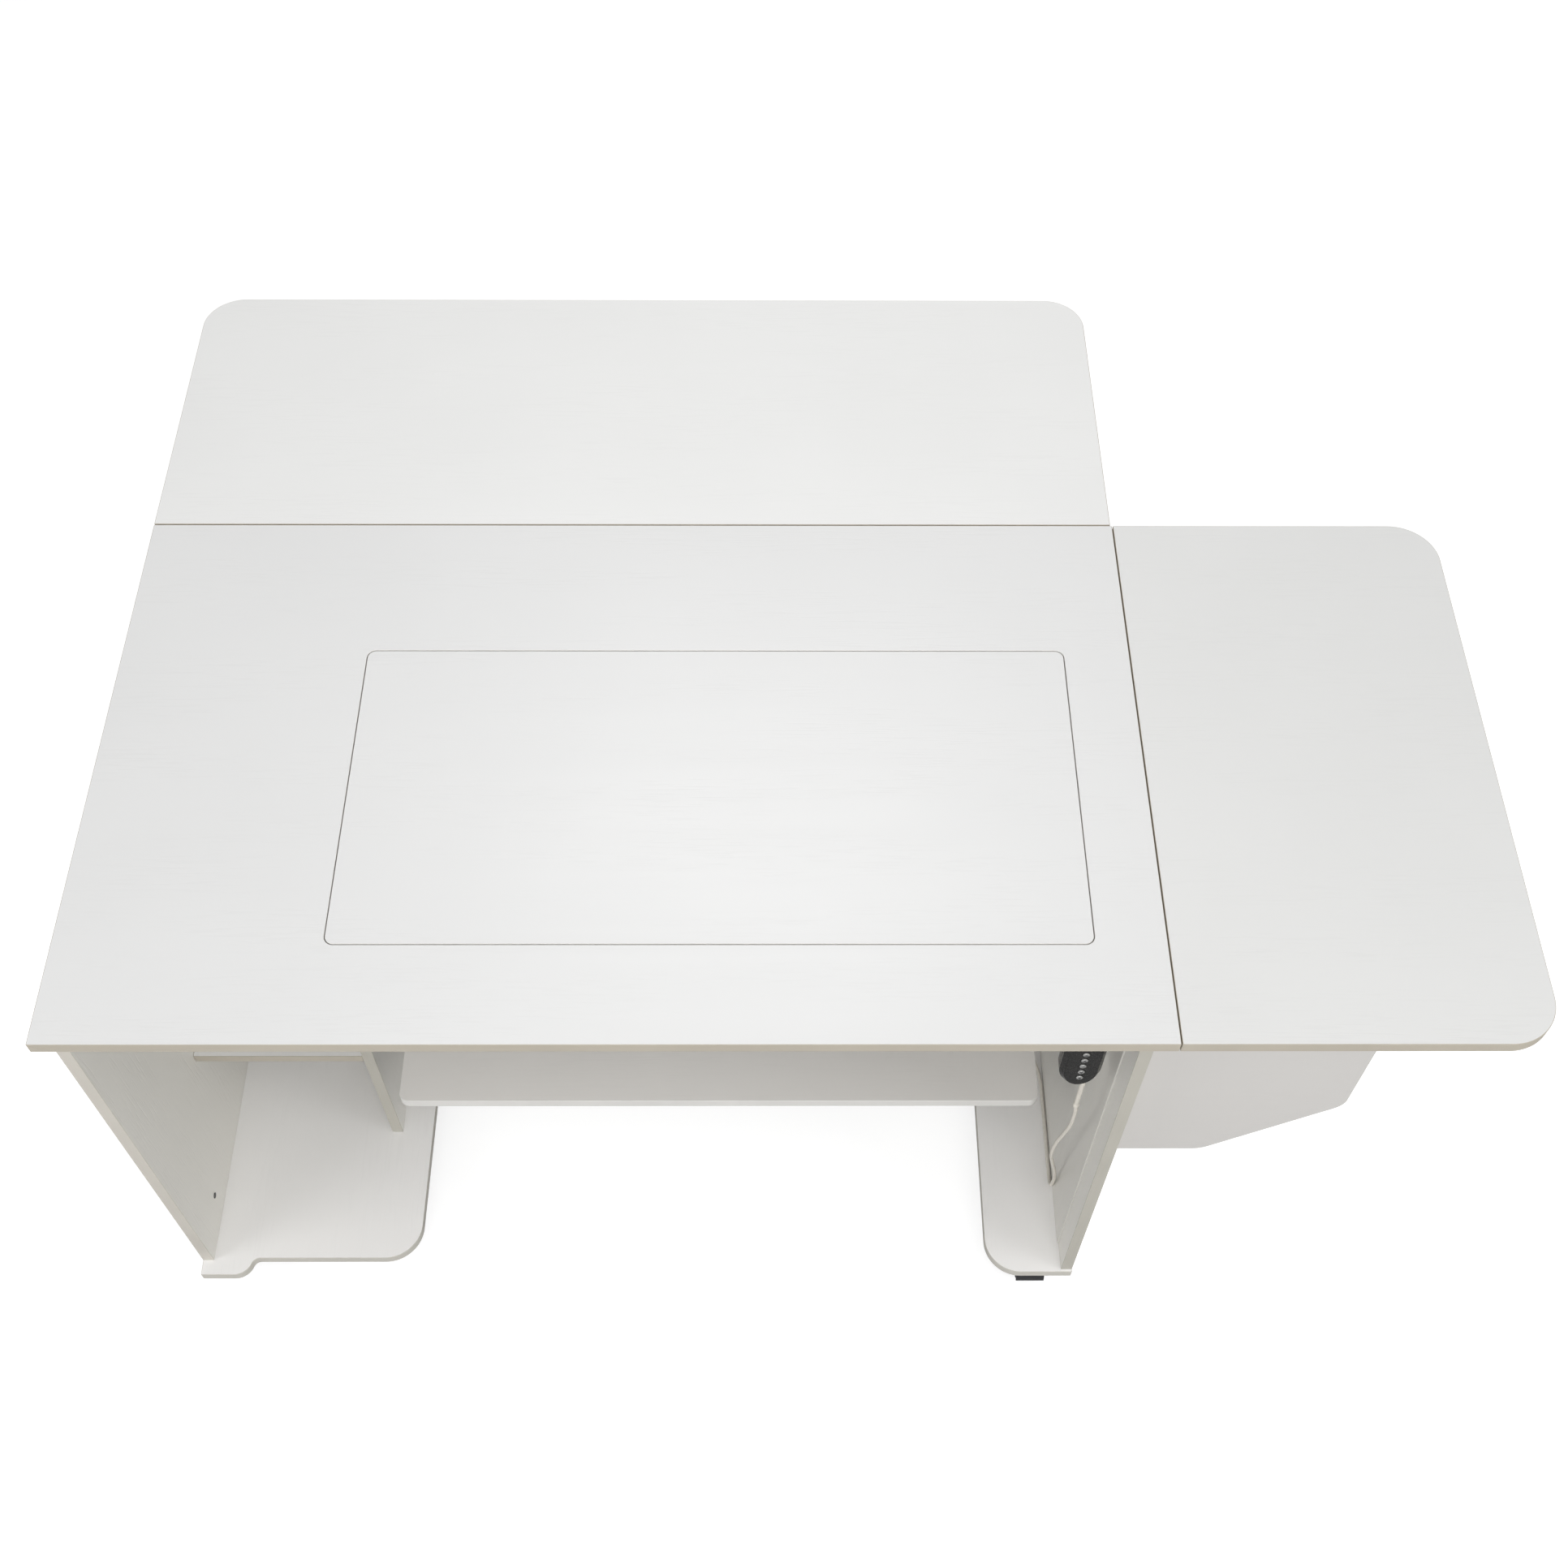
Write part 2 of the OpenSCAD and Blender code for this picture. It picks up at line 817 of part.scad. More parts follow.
module stay_plates() {
    ear_y = stay_pivot_y + 5 - stay_plate_y;
    ear_x = strut_w / 2 + 1 + ear_t / 2;
    color(steel) placed()
        for (x = stay_x) {
            difference() {
                union() {
                    translate([x - 12, stay_plate_y, stay_pivot_z - 60]) cube([24, 2.5, 165]);
                    for (s = [-1, 1])
                        translate([x + s * ear_x - ear_t / 2, stay_plate_y, stay_pivot_z - 10])
                            cube([ear_t, ear_y, 20]);
                }
                translate([x - 20, stay_pivot_y, stay_pivot_z]) rod_x(stay_pin_r + run, 40);
            }
            translate([x - 8, stay_pivot_y, stay_pivot_z]) rod_x(stay_pin_r, 16);
        }
}

// Channels under the rear leaf, open below, that take the struts' tips
module stay_arms() {
    y = rear_axis_y + 5;
    color(steel) placed()
        for (x = stay_x)
            translate([x - arm_w / 2, y, under - arm_h])
                difference() {
                    cube([arm_w, stay_arm_l, arm_h]);
                    translate([arm_wall, -1, -1])
                        cube([arm_w - 2 * arm_wall, stay_arm_l + 2, arm_h - arm_web + 1]);
                }
}

module stay_struts() {
    rise = stay_tip_z - stay_pivot_z;
    lean = acos(rise / stay_l);
    color(steel) placed()
        for (x = stay_x)
            translate([x - strut_w / 2, stay_pivot_y, stay_pivot_z]) rotate([-lean, 0, 0])
                difference() {
                    union() {
                        rod_x(strut_r, strut_w);
                        translate([0, -strut_r, 0]) cube([strut_w, 2 * strut_r, stay_l]);
                        translate([0, 0, stay_l]) rod_x(strut_r, strut_w);
                    }
                    translate([-1, 0, 0]) rod_x(stay_pin_r + run, strut_w + 2);
                }
}

// ---- Casters ----

module at_caster(i) {
    translate([caster_x[i], caster_y[i], 0]) {
        if (caster_trail[i] < 0) rotate([0, 0, 180]) children();
        else children();
    }
}

module caster_plates() {
    plate_h = 2.5;
    color(steel) placed()
        for (i = [0 : 3])
            at_caster(i) {
                translate([-19, -19, caster_h - plate_h]) cube([38, 38, plate_h]);
                translate([0, 0, 28]) cylinder(r = stem_r, h = caster_h - 28);
            }
}

// Fender over both wheels, the web between them, the swivel boss and the axle
module caster_hood(i) {
    color(soft_black) placed() at_caster(i) {
        difference() {
            union() {
                intersection() {
                    translate([-19, trail, wheel_r]) rod_x(wheel_r + 3, 38);
                    translate([-20, -12, wheel_r + 2]) cube([40, 50, 30]);
                }
                translate([0, 0, 26]) cylinder(r = 9, h = caster_h - 2.8 - 26);
                translate([-wheel_in + 1, 0, wheel_r - 5]) cube([2 * wheel_in - 2, trail + 5, 16]);
            }
            for (s = [-1, 1])
                translate([s > 0 ? wheel_in - 0.5 : -wheel_in + 0.5 - 30, trail, wheel_r])
                    rod_x(wheel_r + 1, 30);
            translate([0, 0, 20]) cylinder(r = stem_r + run, h = 40);
        }
        translate([-wheel_in - wheel_w, trail, wheel_r]) rod_x(axle_r, 2 * (wheel_in + wheel_w));
    }
}

module caster_wheels(i) {
    color(soft_black) placed() at_caster(i)
        for (s = [-1, 1])
            translate([s > 0 ? wheel_in : -wheel_in - wheel_w, trail, wheel_r])
                difference() {
                    rod_x(wheel_r, wheel_w);
                    translate([-1, 0, 0]) rod_x(axle_r + run, wheel_w + 2);
                }
}

main_top();
insert_panel();
rear_leaf();
right_leaf();
left_side_panel();
right_side_panel();
divider_panel();
left_base_board();
right_base_board();
mid_shelf();
back_panel();
compartment_back();
rear_apron();
base_stretcher();
right_liner();
cam_locks();
insert_tabs();
machine_platform();
carriage_arms();
slider_blocks();
cross_bar();
lift_nut();
lift_rails();
lift_screw();
screw_bearing();
lift_gearbox();
lift_motor();
motor_cable();
control_box();
control_box_lid();
handset_holder();
handset_front();
handset_back();
handset_button(1);  // handset_button_1
handset_button(2);  // handset_button_2
handset_button(3);  // handset_button_3
handset_button(4);  // handset_button_4
handset_button(5);  // handset_button_5
handset_cord();
cord_strain_relief();
cord_plug();
bracket_panel();
bracket_pad();
hinge_fixed_leaves();
hinge_pins();
rear_leaf_hinge_leaves();
right_leaf_hinge_leaves();
bracket_hinge_leaf();
stay_plates();
stay_arms();
stay_struts();
caster_plates();
caster_hood(0);  // caster_1_hood
caster_wheels(0);  // caster_1_wheels
caster_hood(1);  // caster_2_hood
caster_wheels(1);  // caster_2_wheels
caster_hood(2);  // caster_3_hood
caster_wheels(2);  // caster_3_wheels
caster_hood(3);  // caster_4_hood
caster_wheels(3);  // caster_4_wheels
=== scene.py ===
import math

import bmesh
import bpy
from mathutils import Matrix, Vector


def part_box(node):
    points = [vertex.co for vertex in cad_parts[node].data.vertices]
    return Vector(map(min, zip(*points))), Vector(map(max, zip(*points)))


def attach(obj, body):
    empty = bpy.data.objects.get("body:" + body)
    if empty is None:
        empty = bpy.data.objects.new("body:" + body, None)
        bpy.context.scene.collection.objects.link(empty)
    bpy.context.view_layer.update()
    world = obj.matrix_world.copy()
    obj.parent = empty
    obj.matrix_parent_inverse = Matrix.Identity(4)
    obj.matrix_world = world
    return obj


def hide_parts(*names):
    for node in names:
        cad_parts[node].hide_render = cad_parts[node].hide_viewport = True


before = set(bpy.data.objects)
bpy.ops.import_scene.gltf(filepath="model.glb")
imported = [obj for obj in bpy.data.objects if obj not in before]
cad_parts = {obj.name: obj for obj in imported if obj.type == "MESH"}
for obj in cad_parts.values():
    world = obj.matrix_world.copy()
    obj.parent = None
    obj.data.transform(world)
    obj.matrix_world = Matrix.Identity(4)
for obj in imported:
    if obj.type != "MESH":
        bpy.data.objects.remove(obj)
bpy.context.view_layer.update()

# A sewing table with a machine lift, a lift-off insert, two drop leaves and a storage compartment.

MM = 0.001
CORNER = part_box("main_top")[0]


def at(x, y, z):
    """A point given in millimetres from the main top's front left corner, at floor level."""
    return Vector((CORNER.x + x * MM, CORNER.y + y * MM, z * MM))


# ---- Camera ----

def make_camera(place, lens, pitch, yaw, roll):
    """Looks down at pitch degrees, turned by yaw and leaned by roll."""
    pitch, yaw, roll = (math.radians(a) for a in (pitch, yaw, roll))
    forward = Vector((
        math.sin(yaw) * math.cos(pitch),
        math.cos(yaw) * math.cos(pitch),
        -math.sin(pitch),
    ))
    right = Vector((math.cos(yaw), -math.sin(yaw), 0))
    up = right.cross(forward)
    leaned_right = right * math.cos(roll) + up * math.sin(roll)
    leaned_up = up * math.cos(roll) - right * math.sin(roll)
    data = bpy.data.cameras.new("camera")
    data.sensor_width = 36
    data.lens = lens
    camera = bpy.data.objects.new("camera", data)
    camera.matrix_world = Matrix.Translation(place) @ Matrix(
        (leaned_right, leaned_up, -forward)
    ).transposed().to_4x4()
    bpy.context.scene.collection.objects.link(camera)
    bpy.context.scene.camera = camera


make_camera(at(774.6, -876, 2530.1), lens=43.21, pitch=55.751, yaw=0.604, roll=0.519)


# ---- Node helpers ----

def add(tree, kind, inputs=None, **settings):
    """A node of that kind. Each input is a socket to link or a plain value."""
    made = tree.nodes.new(kind)
    for name, value in settings.items():
        setattr(made, name, value)
    for name, value in (inputs or {}).items():
        if isinstance(value, bpy.types.NodeSocket):
            tree.links.new(value, made.inputs[name])
        else:
            made.inputs[name].default_value = value
    return made


def maths(tree, operation, a, b=0.0):
    return add(tree, "ShaderNodeMath", {0: a, 1: b}, operation=operation).outputs[0]


def ramp(tree, value, low, high, to_low=0.0, to_high=1.0):
    """Value eased from low..high to to_low..to_high."""
    return add(
        tree, "ShaderNodeMapRange",
        {"Value": value, "From Min": low, "From Max": high, "To Min": to_low, "To Max": to_high},
        interpolation_type="SMOOTHSTEP",
    ).outputs["Result"]


def scaled(tree, vector, factors):
    return add(tree, "ShaderNodeVectorMath", {0: vector, 1: factors}, operation="MULTIPLY").outputs[0]


def noise(tree, vector, scale, detail=2.0, roughness=0.5):
    return add(
        tree, "ShaderNodeTexNoise",
        {"Vector": vector, "Scale": scale, "Detail": detail, "Roughness": roughness},
    ).outputs["Fac"]


def mix(tree, factor, a, b):
    made = add(tree, "ShaderNodeMix", data_type="RGBA")
    for socket, value in zip((made.inputs[0], made.inputs[6], made.inputs[7]), (factor, a, b)):
        if isinstance(value, bpy.types.NodeSocket):
            tree.links.new(value, socket)
        else:
            socket.default_value = value
    return made.outputs[2]


def group(name, inputs, outputs):
    """An empty group with its input and output nodes. inputs is a list of (name, socket type, value)."""
    tree = bpy.data.node_groups.new(name, "ShaderNodeTree")
    for label, kind, value in inputs:
        socket = tree.interface.new_socket(label, in_out="INPUT", socket_type=kind)
        if value is not None:
            socket.default_value = value
    for label in outputs:
        tree.interface.new_socket(label, in_out="OUTPUT", socket_type="NodeSocketFloat")
    return tree, tree.nodes.new("NodeGroupInput").outputs, tree.nodes.new("NodeGroupOutput").inputs


def put(tree, made_group, inputs):
    """Places a group in a material."""
    node = tree.nodes.new("ShaderNodeGroup")
    node.node_tree = made_group
    for name, value in inputs.items():
        if isinstance(value, bpy.types.NodeSocket):
            tree.links.new(value, node.inputs[name])
        else:
            node.inputs[name].default_value = value
    return node.outputs


# ---- Effects that several finishes share ----

def make_pore_emboss():
    """Fine broken lines along X, as pressed into woodgrain laminate: height and a mask of the pores."""
    tree, given, result = group(
        "pore emboss",
        [("Vector", "NodeSocketVector", None), ("Line length", "NodeSocketFloat", 0.03),
         ("Line width", "NodeSocketFloat", 0.0016), ("Wander", "NodeSocketFloat", 0.012)],
        ["Height", "Pores", "Figure"],
    )
    axes = add(tree, "ShaderNodeSeparateXYZ", {0: given["Vector"]}).outputs
    drift = maths(tree, "SUBTRACT", noise(tree, given["Vector"], 2.6, 1.0), 0.5)
    across = maths(tree, "ADD", axes[1], maths(tree, "MULTIPLY", drift, given["Wander"]))
    lines = add(tree, "ShaderNodeCombineXYZ", {
        0: maths(tree, "DIVIDE", axes[0], given["Line length"]),
        1: maths(tree, "DIVIDE", across, given["Line width"]),
        2: maths(tree, "DIVIDE", axes[2], given["Line width"]),
    }).outputs[0]
    pores = ramp(tree, noise(tree, lines, 0.62, 1.5, 0.45), 0.53, 0.66)
    patches = scaled(tree, lines, (0.11, 0.035, 0.035))
    where = ramp(tree, noise(tree, patches, 1.0, 2.0), 0.36, 0.6)
    shown = maths(tree, "MULTIPLY", pores, where)
    flow = scaled(tree, lines, (0.03, 0.11, 0.11))
    tree.links.new(maths(tree, "SUBTRACT", 1.0, shown), result["Height"])
    tree.links.new(shown, result["Pores"])
    tree.links.new(noise(tree, flow, 1.0, 2.0), result["Figure"])
    return tree


def make_slow_tone():
    """Broad, weak changes of shade."""
    tree, given, result = group(
        "slow tone",
        [("Vector", "NodeSocketVector", None), ("Patches per metre", "NodeSocketFloat", 4.0)],
        ["Tone"],
    )
    tree.links.new(
        ramp(tree, noise(tree, given["Vector"], given["Patches per metre"], 2.0), 0.3, 0.7), result["Tone"]
    )
    return tree


def make_moulded_stipple():
    """The fine spark-eroded texture of moulded plastic and powder paint."""
    tree, given, result = group(
        "moulded stipple",
        [("Vector", "NodeSocketVector", None), ("Grains per metre", "NodeSocketFloat", 1800.0)],
        ["Height", "Speck"],
    )
    fine = noise(tree, given["Vector"], given["Grains per metre"], 2.0, 0.6)
    coarse = noise(tree, given["Vector"], maths(tree, "MULTIPLY", given["Grains per metre"], 0.21), 1.0)
    tree.links.new(maths(tree, "ADD", fine, maths(tree, "MULTIPLY", coarse, 0.4)), result["Height"])
    tree.links.new(ramp(tree, coarse, 0.42, 0.62), result["Speck"])
    return tree


def make_drawn_lines():
    """Lines left by rolling and drawing metal, along X."""
    tree, given, result = group(
        "drawn lines",
        [("Vector", "NodeSocketVector", None), ("Line width", "NodeSocketFloat", 0.0006)],
        ["Height", "Spangle"],
    )
    axes = add(tree, "ShaderNodeSeparateXYZ", {0: given["Vector"]}).outputs
    stretched = add(tree, "ShaderNodeCombineXYZ", {
        0: maths(tree, "DIVIDE", axes[0], maths(tree, "MULTIPLY", given["Line width"], 40.0)),
        1: maths(tree, "DIVIDE", axes[1], given["Line width"]),
        2: maths(tree, "DIVIDE", axes[2], given["Line width"]),
    }).outputs[0]
    tree.links.new(noise(tree, stretched, 1.0, 3.0), result["Height"])
    cells = add(tree, "ShaderNodeTexVoronoi", {"Vector": given["Vector"], "Scale": 260.0}).outputs
    tree.links.new(ramp(tree, cells["Distance"], 0.1, 0.7), result["Spangle"])
    return tree


def make_settled_dust():
    """A little dust on what faces up: a mask."""
    tree, given, result = group(
        "settled dust",
        [("Vector", "NodeSocketVector", None), ("Normal", "NodeSocketVector", None),
         ("Amount", "NodeSocketFloat", 0.3)],
        ["Mask"],
    )
    up = add(tree, "ShaderNodeSeparateXYZ", {0: given["Normal"]}).outputs[2]
    film = ramp(tree, noise(tree, given["Vector"], 420.0, 4.0, 0.7), 0.45, 0.75)
    facing = ramp(tree, up, 0.2, 1.0)
    tree.links.new(
        maths(tree, "MULTIPLY", maths(tree, "MULTIPLY", film, facing), given["Amount"]), result["Mask"]
    )
    return tree


def make_rubbed_edges():
    """Handling wear on convex edges: a mask."""
    tree, given, result = group(
        "rubbed edges",
        [("Vector", "NodeSocketVector", None), ("Pointiness", "NodeSocketFloat", 0.5),
         ("Amount", "NodeSocketFloat", 0.5)],
        ["Mask"],
    )
    edge = ramp(tree, given["Pointiness"], 0.505, 0.58)
    broken = ramp(tree, noise(tree, given["Vector"], 160.0, 3.0, 0.65), 0.35, 0.65)
    worn = maths(tree, "MULTIPLY", edge, broken)
    tree.links.new(maths(tree, "MULTIPLY", worn, given["Amount"]), result["Mask"])
    return tree


PORES = make_pore_emboss()
TONE = make_slow_tone()
STIPPLE = make_moulded_stipple()
LINES = make_drawn_lines()
DUST = make_settled_dust()
RUBBED = make_rubbed_edges()


# ---- Finishes ----

def start_material(name, **constants):
    """A new material, its tree, its shader, object coordinates and normal. Constants go on the shader."""
    made = bpy.data.materials.new(name)
    made.use_nodes = True
    tree = made.node_tree
    shader = tree.nodes["Principled BSDF"]
    for socket, value in constants.items():
        shader.inputs[socket.replace("_", " ")].default_value = value
    place = tree.nodes.new("ShaderNodeTexCoord").outputs
    return made, tree, shader, place["Object"], place["Normal"]


def link_surface(tree, shader, colour, roughness, height, strength, distance):
    tree.links.new(colour, shader.inputs["Base Color"])
    tree.links.new(roughness, shader.inputs["Roughness"])
    bump = add(tree, "ShaderNodeBump", {"Height": height, "Strength": strength, "Distance": distance})
    tree.links.new(bump.outputs[0], shader.inputs["Normal"])


def along(tree, place, axis):
    """Object coordinates turned so that X runs along the given axis."""
    if axis == "X":
        return place
    axes = add(tree, "ShaderNodeSeparateXYZ", {0: place}).outputs
    order = {"Y": (1, 0, 2), "Z": (2, 0, 1)}[axis]
    return add(tree, "ShaderNodeCombineXYZ", {k: axes[i] for k, i in enumerate(order)}).outputs[0]


def laminate(name, colour, axis, depth=0.3, satin=0.36):
    """White melamine laminate with an embossed woodgrain."""
    made, tree, shader, place, _ = start_material(name, Specular_IOR_Level=0.5)
    grain = put(tree, PORES, {"Vector": along(tree, place, axis)})
    tone = put(tree, TONE, {"Vector": place, "Patches per metre": 5.0})["Tone"]
    darker = tuple(c * 0.988 for c in colour[:3]) + (1,)
    in_pore = tuple(c * 0.97 for c in colour[:3]) + (1,)
    base = mix(tree, tone, colour, darker)
    figured = mix(tree, maths(tree, "MULTIPLY", grain["Pores"], 0.55), base, in_pore)
    rough = ramp(tree, grain["Figure"], 0.25, 0.75, satin - 0.015, satin + 0.025)
    link_surface(tree, shader, figured, rough, grain["Height"], depth, 0.0006)
    return made


def edge_band(name, colour, axis):
    """Plastic banding on a board's edge, with faint lines along it."""
    made, tree, shader, place, _ = start_material(name)
    lines = put(tree, LINES, {"Vector": along(tree, place, axis), "Line width": 0.0011})
    tone = put(tree, TONE, {"Vector": place, "Patches per metre": 9.0})["Tone"]
    base = mix(tree, tone, colour, tuple(c * 0.95 for c in colour[:3]) + (1,))
    rough = ramp(tree, lines["Height"], 0.3, 0.7, 0.4, 0.5)
    link_surface(tree, shader, base, rough, lines["Height"], 0.08, 0.0003)
    return made


def backing(name, colour):
    """Painted hardboard with a soft fibre texture."""
    made, tree, shader, place, _ = start_material(name)
    fibre = put(tree, STIPPLE, {"Vector": place, "Grains per metre": 700.0})
    tone = put(tree, TONE, {"Vector": place, "Patches per metre": 6.0})["Tone"]
    base = mix(tree, tone, colour, tuple(c * 0.96 for c in colour[:3]) + (1,))
    rough = ramp(tree, fibre["Speck"], 0.0, 1.0, 0.5, 0.6)
    link_surface(tree, shader, base, rough, fibre["Height"], 0.12, 0.0004)
    return made


def bright_metal(name, colour, axis="X", roughness=0.3, spangle=0.25):
    made, tree, shader, place, _ = start_material(name, Metallic=1.0)
    lines = put(tree, LINES, {"Vector": along(tree, place, axis)})
    pointiness = tree.nodes.new("ShaderNodeNewGeometry").outputs["Pointiness"]
    worn = put(tree, RUBBED, {"Vector": place, "Pointiness": pointiness, "Amount": 0.5})["Mask"]
    dull = tuple(c * 0.8 for c in colour[:3]) + (1,)
    base = mix(tree, maths(tree, "MULTIPLY", lines["Spangle"], spangle), colour, dull)
    shown = mix(tree, worn, base, tuple(min(1, c * 1.25) for c in colour[:3]) + (1,))
    rough = ramp(tree, lines["Height"], 0.3, 0.7, roughness - 0.05, roughness + 0.08)
    link_surface(tree, shader, shown, rough, lines["Height"], 0.1, 0.0002)
    return made


def painted(name, colour, roughness=0.45, grains=1100.0, rubbed=0.4):
    """Powder-painted steel or cast metal."""
    made, tree, shader, place, normal = start_material(name)
    stipple = put(tree, STIPPLE, {"Vector": place, "Grains per metre": grains})
    dust = put(tree, DUST, {"Vector": place, "Normal": normal, "Amount": 0.3})["Mask"]
    pointiness = tree.nodes.new("ShaderNodeNewGeometry").outputs["Pointiness"]
    worn = put(tree, RUBBED, {"Vector": place, "Pointiness": pointiness, "Amount": rubbed})["Mask"]
    lighter = tuple(min(1, c * 1.35 + 0.02) for c in colour[:3]) + (1,)
    base = mix(tree, worn, colour, lighter)
    dusty = mix(tree, dust, base, (0.5, 0.49, 0.46, 1))
    rough = ramp(tree, stipple["Speck"], 0.0, 1.0, roughness - 0.04, roughness + 0.08)
    link_surface(tree, shader, dusty, rough, stipple["Height"], 0.16, 0.0003)
    return made


def moulded(name, colour, roughness=0.42, grains=2200.0, dust_amount=0.25, sheen=0.5):
    """Moulded plastic or rubber. sheen is how strongly it reflects."""
    made, tree, shader, place, normal = start_material(name, Specular_IOR_Level=sheen)
    stipple = put(tree, STIPPLE, {"Vector": place, "Grains per metre": grains})
    dust = put(tree, DUST, {"Vector": place, "Normal": normal, "Amount": dust_amount})["Mask"]
    pointiness = tree.nodes.new("ShaderNodeNewGeometry").outputs["Pointiness"]
    worn = put(tree, RUBBED, {"Vector": place, "Pointiness": pointiness, "Amount": 0.35})["Mask"]
    lighter = tuple(min(1, c * 1.5 + 0.015) for c in colour[:3]) + (1,)
    base = mix(tree, worn, colour, lighter)
    dusty = mix(tree, dust, base, tuple(c * 0.8 + 0.1 for c in colour[:3]) + (1,))
    rough = ramp(tree, stipple["Speck"], 0.0, 1.0, roughness - 0.05, roughness + 0.07)
    link_surface(tree, shader, dusty, rough, stipple["Height"], 0.14, 0.0002)
    return made


# All these boards are one white laminate. The main top and the insert have its colour. The copies below
# differ from it only by painted light, made lighter, and painted shade, made darker, as marked on each.
TOP_FACE = laminate("laminate grain along x", (0.74, 0.74, 0.735, 1), "X", depth=0.1)
# Painted light: a lighter copy for the rear leaf, the apron and the stretcher.
LEAF_FACE_PAINTED_LIGHT = laminate("leaf laminate grain along x", (0.80, 0.80, 0.79, 1), "X", depth=0.09)
# Painted shade: a darker copy for the right leaf.
RIGHT_LEAF_FACE_PAINTED_SHADE = laminate("right leaf laminate grain along x", (0.725, 0.725, 0.715, 1), "X", depth=0.09)
# Painted light: a lighter, warmer copy for the side panels and the divider, to brighten their shaded inner
# faces.
PANEL_FACE_PAINTED_LIGHT = laminate("panel laminate grain upright", (0.77, 0.755, 0.705, 1), "Z", depth=0.24, satin=0.34)
# Painted shade: a darker, warmer copy for the liner.
LINER_FACE_PAINTED_SHADE = laminate("liner laminate grain upright", (0.70, 0.686, 0.64, 1), "Z", depth=0.2, satin=0.34)
# Painted light: a lighter copy for the base boards and the shelf, which lie in the shade of the tops.
BASE_FACE_PAINTED_LIGHT = laminate("base laminate", (0.865, 0.855, 0.84, 1), "Y", depth=0.07, satin=0.42)
# Painted shade: a darker copy for the platform, for the shadow the tabletop casts on it.
PLATFORM_FACE_PAINTED_SHADE = laminate("platform laminate", (0.725, 0.705, 0.675, 1), "X", depth=0.07, satin=0.42)
# Painted shade: a darker copy for the bracket.
BRACKET_FACE_PAINTED_SHADE = laminate("bracket laminate", (0.585, 0.57, 0.55, 1), "X", depth=0.07)
# The edge bands are all one plastic banding. This colour is partly the banding's own warm tone and partly
# painted shade, darker than the faces so that the edges look shaded.
BAND_TONE_AND_SHADE = (0.445, 0.405, 0.335, 1)
BAND_X = edge_band("edge band along x", BAND_TONE_AND_SHADE, "X")
BAND_Y = edge_band("edge band along y", BAND_TONE_AND_SHADE, "Y")
# Partly the banding's own tone and partly painted shade, for the upright edges of the right panel, the
# divider and the bracket.
BAND_Z = edge_band("edge band upright", (0.455, 0.438, 0.385, 1), "Z")
# Painted light: a lighter copy for the left panel's front edge.
LEFT_BAND_PAINTED_LIGHT = edge_band("left edge band upright", (0.57, 0.54, 0.485, 1), "Z")
# Painted light: a lighter copy for the insert's edge, the rim of its opening and the platform's edge, so that
# the seams round the insert look lit.
PALE_BAND_PAINTED_LIGHT = edge_band("pale edge band", (0.70, 0.69, 0.665, 1), "X")
# Painted light: a lighter copy for the base boards' edges.
BASE_BAND_PAINTED_LIGHT = edge_band("base edge band", (0.56, 0.54, 0.49, 1), "X")
# Painted light: a lighter copy for the liner's edges.
LINER_BAND_PAINTED_LIGHT = edge_band("pale edge band upright", (0.66, 0.65, 0.61, 1), "Z")
BACKING = backing("painted backing board", (0.74, 0.735, 0.72, 1))
ZINC_GREY = (0.66, 0.67, 0.69, 1)
ZINC = bright_metal("zinc plated steel", ZINC_GREY)
ZINC_UPRIGHT = bright_metal("zinc plated steel upright", ZINC_GREY, axis="Z")
SCREW_STEEL = bright_metal("ground screw steel", (0.58, 0.58, 0.6, 1), axis="Z", roughness=0.22, spangle=0.1)
FASTENER = bright_metal("plated fasteners", (0.7, 0.7, 0.72, 1), roughness=0.26, spangle=0.12)
GREY_PAINT = painted("grey powder paint", (0.24, 0.245, 0.26, 1))
MOTOR_PAINT = painted("motor paint", (0.03, 0.03, 0.033, 1), roughness=0.38, rubbed=0.5)
BOX_PLASTIC = moulded("housing plastic", (0.16, 0.165, 0.175, 1), roughness=0.48)
HANDSET_PLASTIC = moulded("handset plastic", (0.006, 0.0055, 0.005, 1), roughness=0.26, dust_amount=0.02,
                          sheen=0.22)
BUTTON_FACE = bright_metal("silvered button", (0.50, 0.50, 0.49, 1), roughness=0.4, spangle=0.05)
BUTTON_MARK = moulded("button mark", (0.03, 0.03, 0.035, 1), roughness=0.5, dust_amount=0.05)
CORD_JACKET = moulded("cord jacket", (0.62, 0.59, 0.53, 1), roughness=0.5, grains=1500.0)
CABLE_JACKET = moulded("cable jacket", (0.02, 0.02, 0.022, 1), roughness=0.5, grains=1500.0)
DARK_PLASTIC = moulded("dark plastic", (0.016, 0.016, 0.018, 1), roughness=0.4)
TREAD = moulded("caster tread", (0.028, 0.028, 0.03, 1), roughness=0.62, grains=1400.0, dust_amount=0.3)
PAD_RUBBER = moulded("pad rubber", (0.03, 0.03, 0.03, 1), roughness=0.75, grains=1300.0)


# ---- Mesh helpers ----

def arc(centre, radius, start, stop, steps):
    """Points on an arc, both ends included. Angles are in degrees."""
    return [
        Vector((
            centre[0] + radius * math.cos(math.radians(start + (stop - start) * i / steps)),
            centre[1] + radius * math.sin(math.radians(start + (stop - start) * i / steps)),
        ))
        for i in range(steps + 1)
    ]


SOFT_CORNER = 1.2 * MM


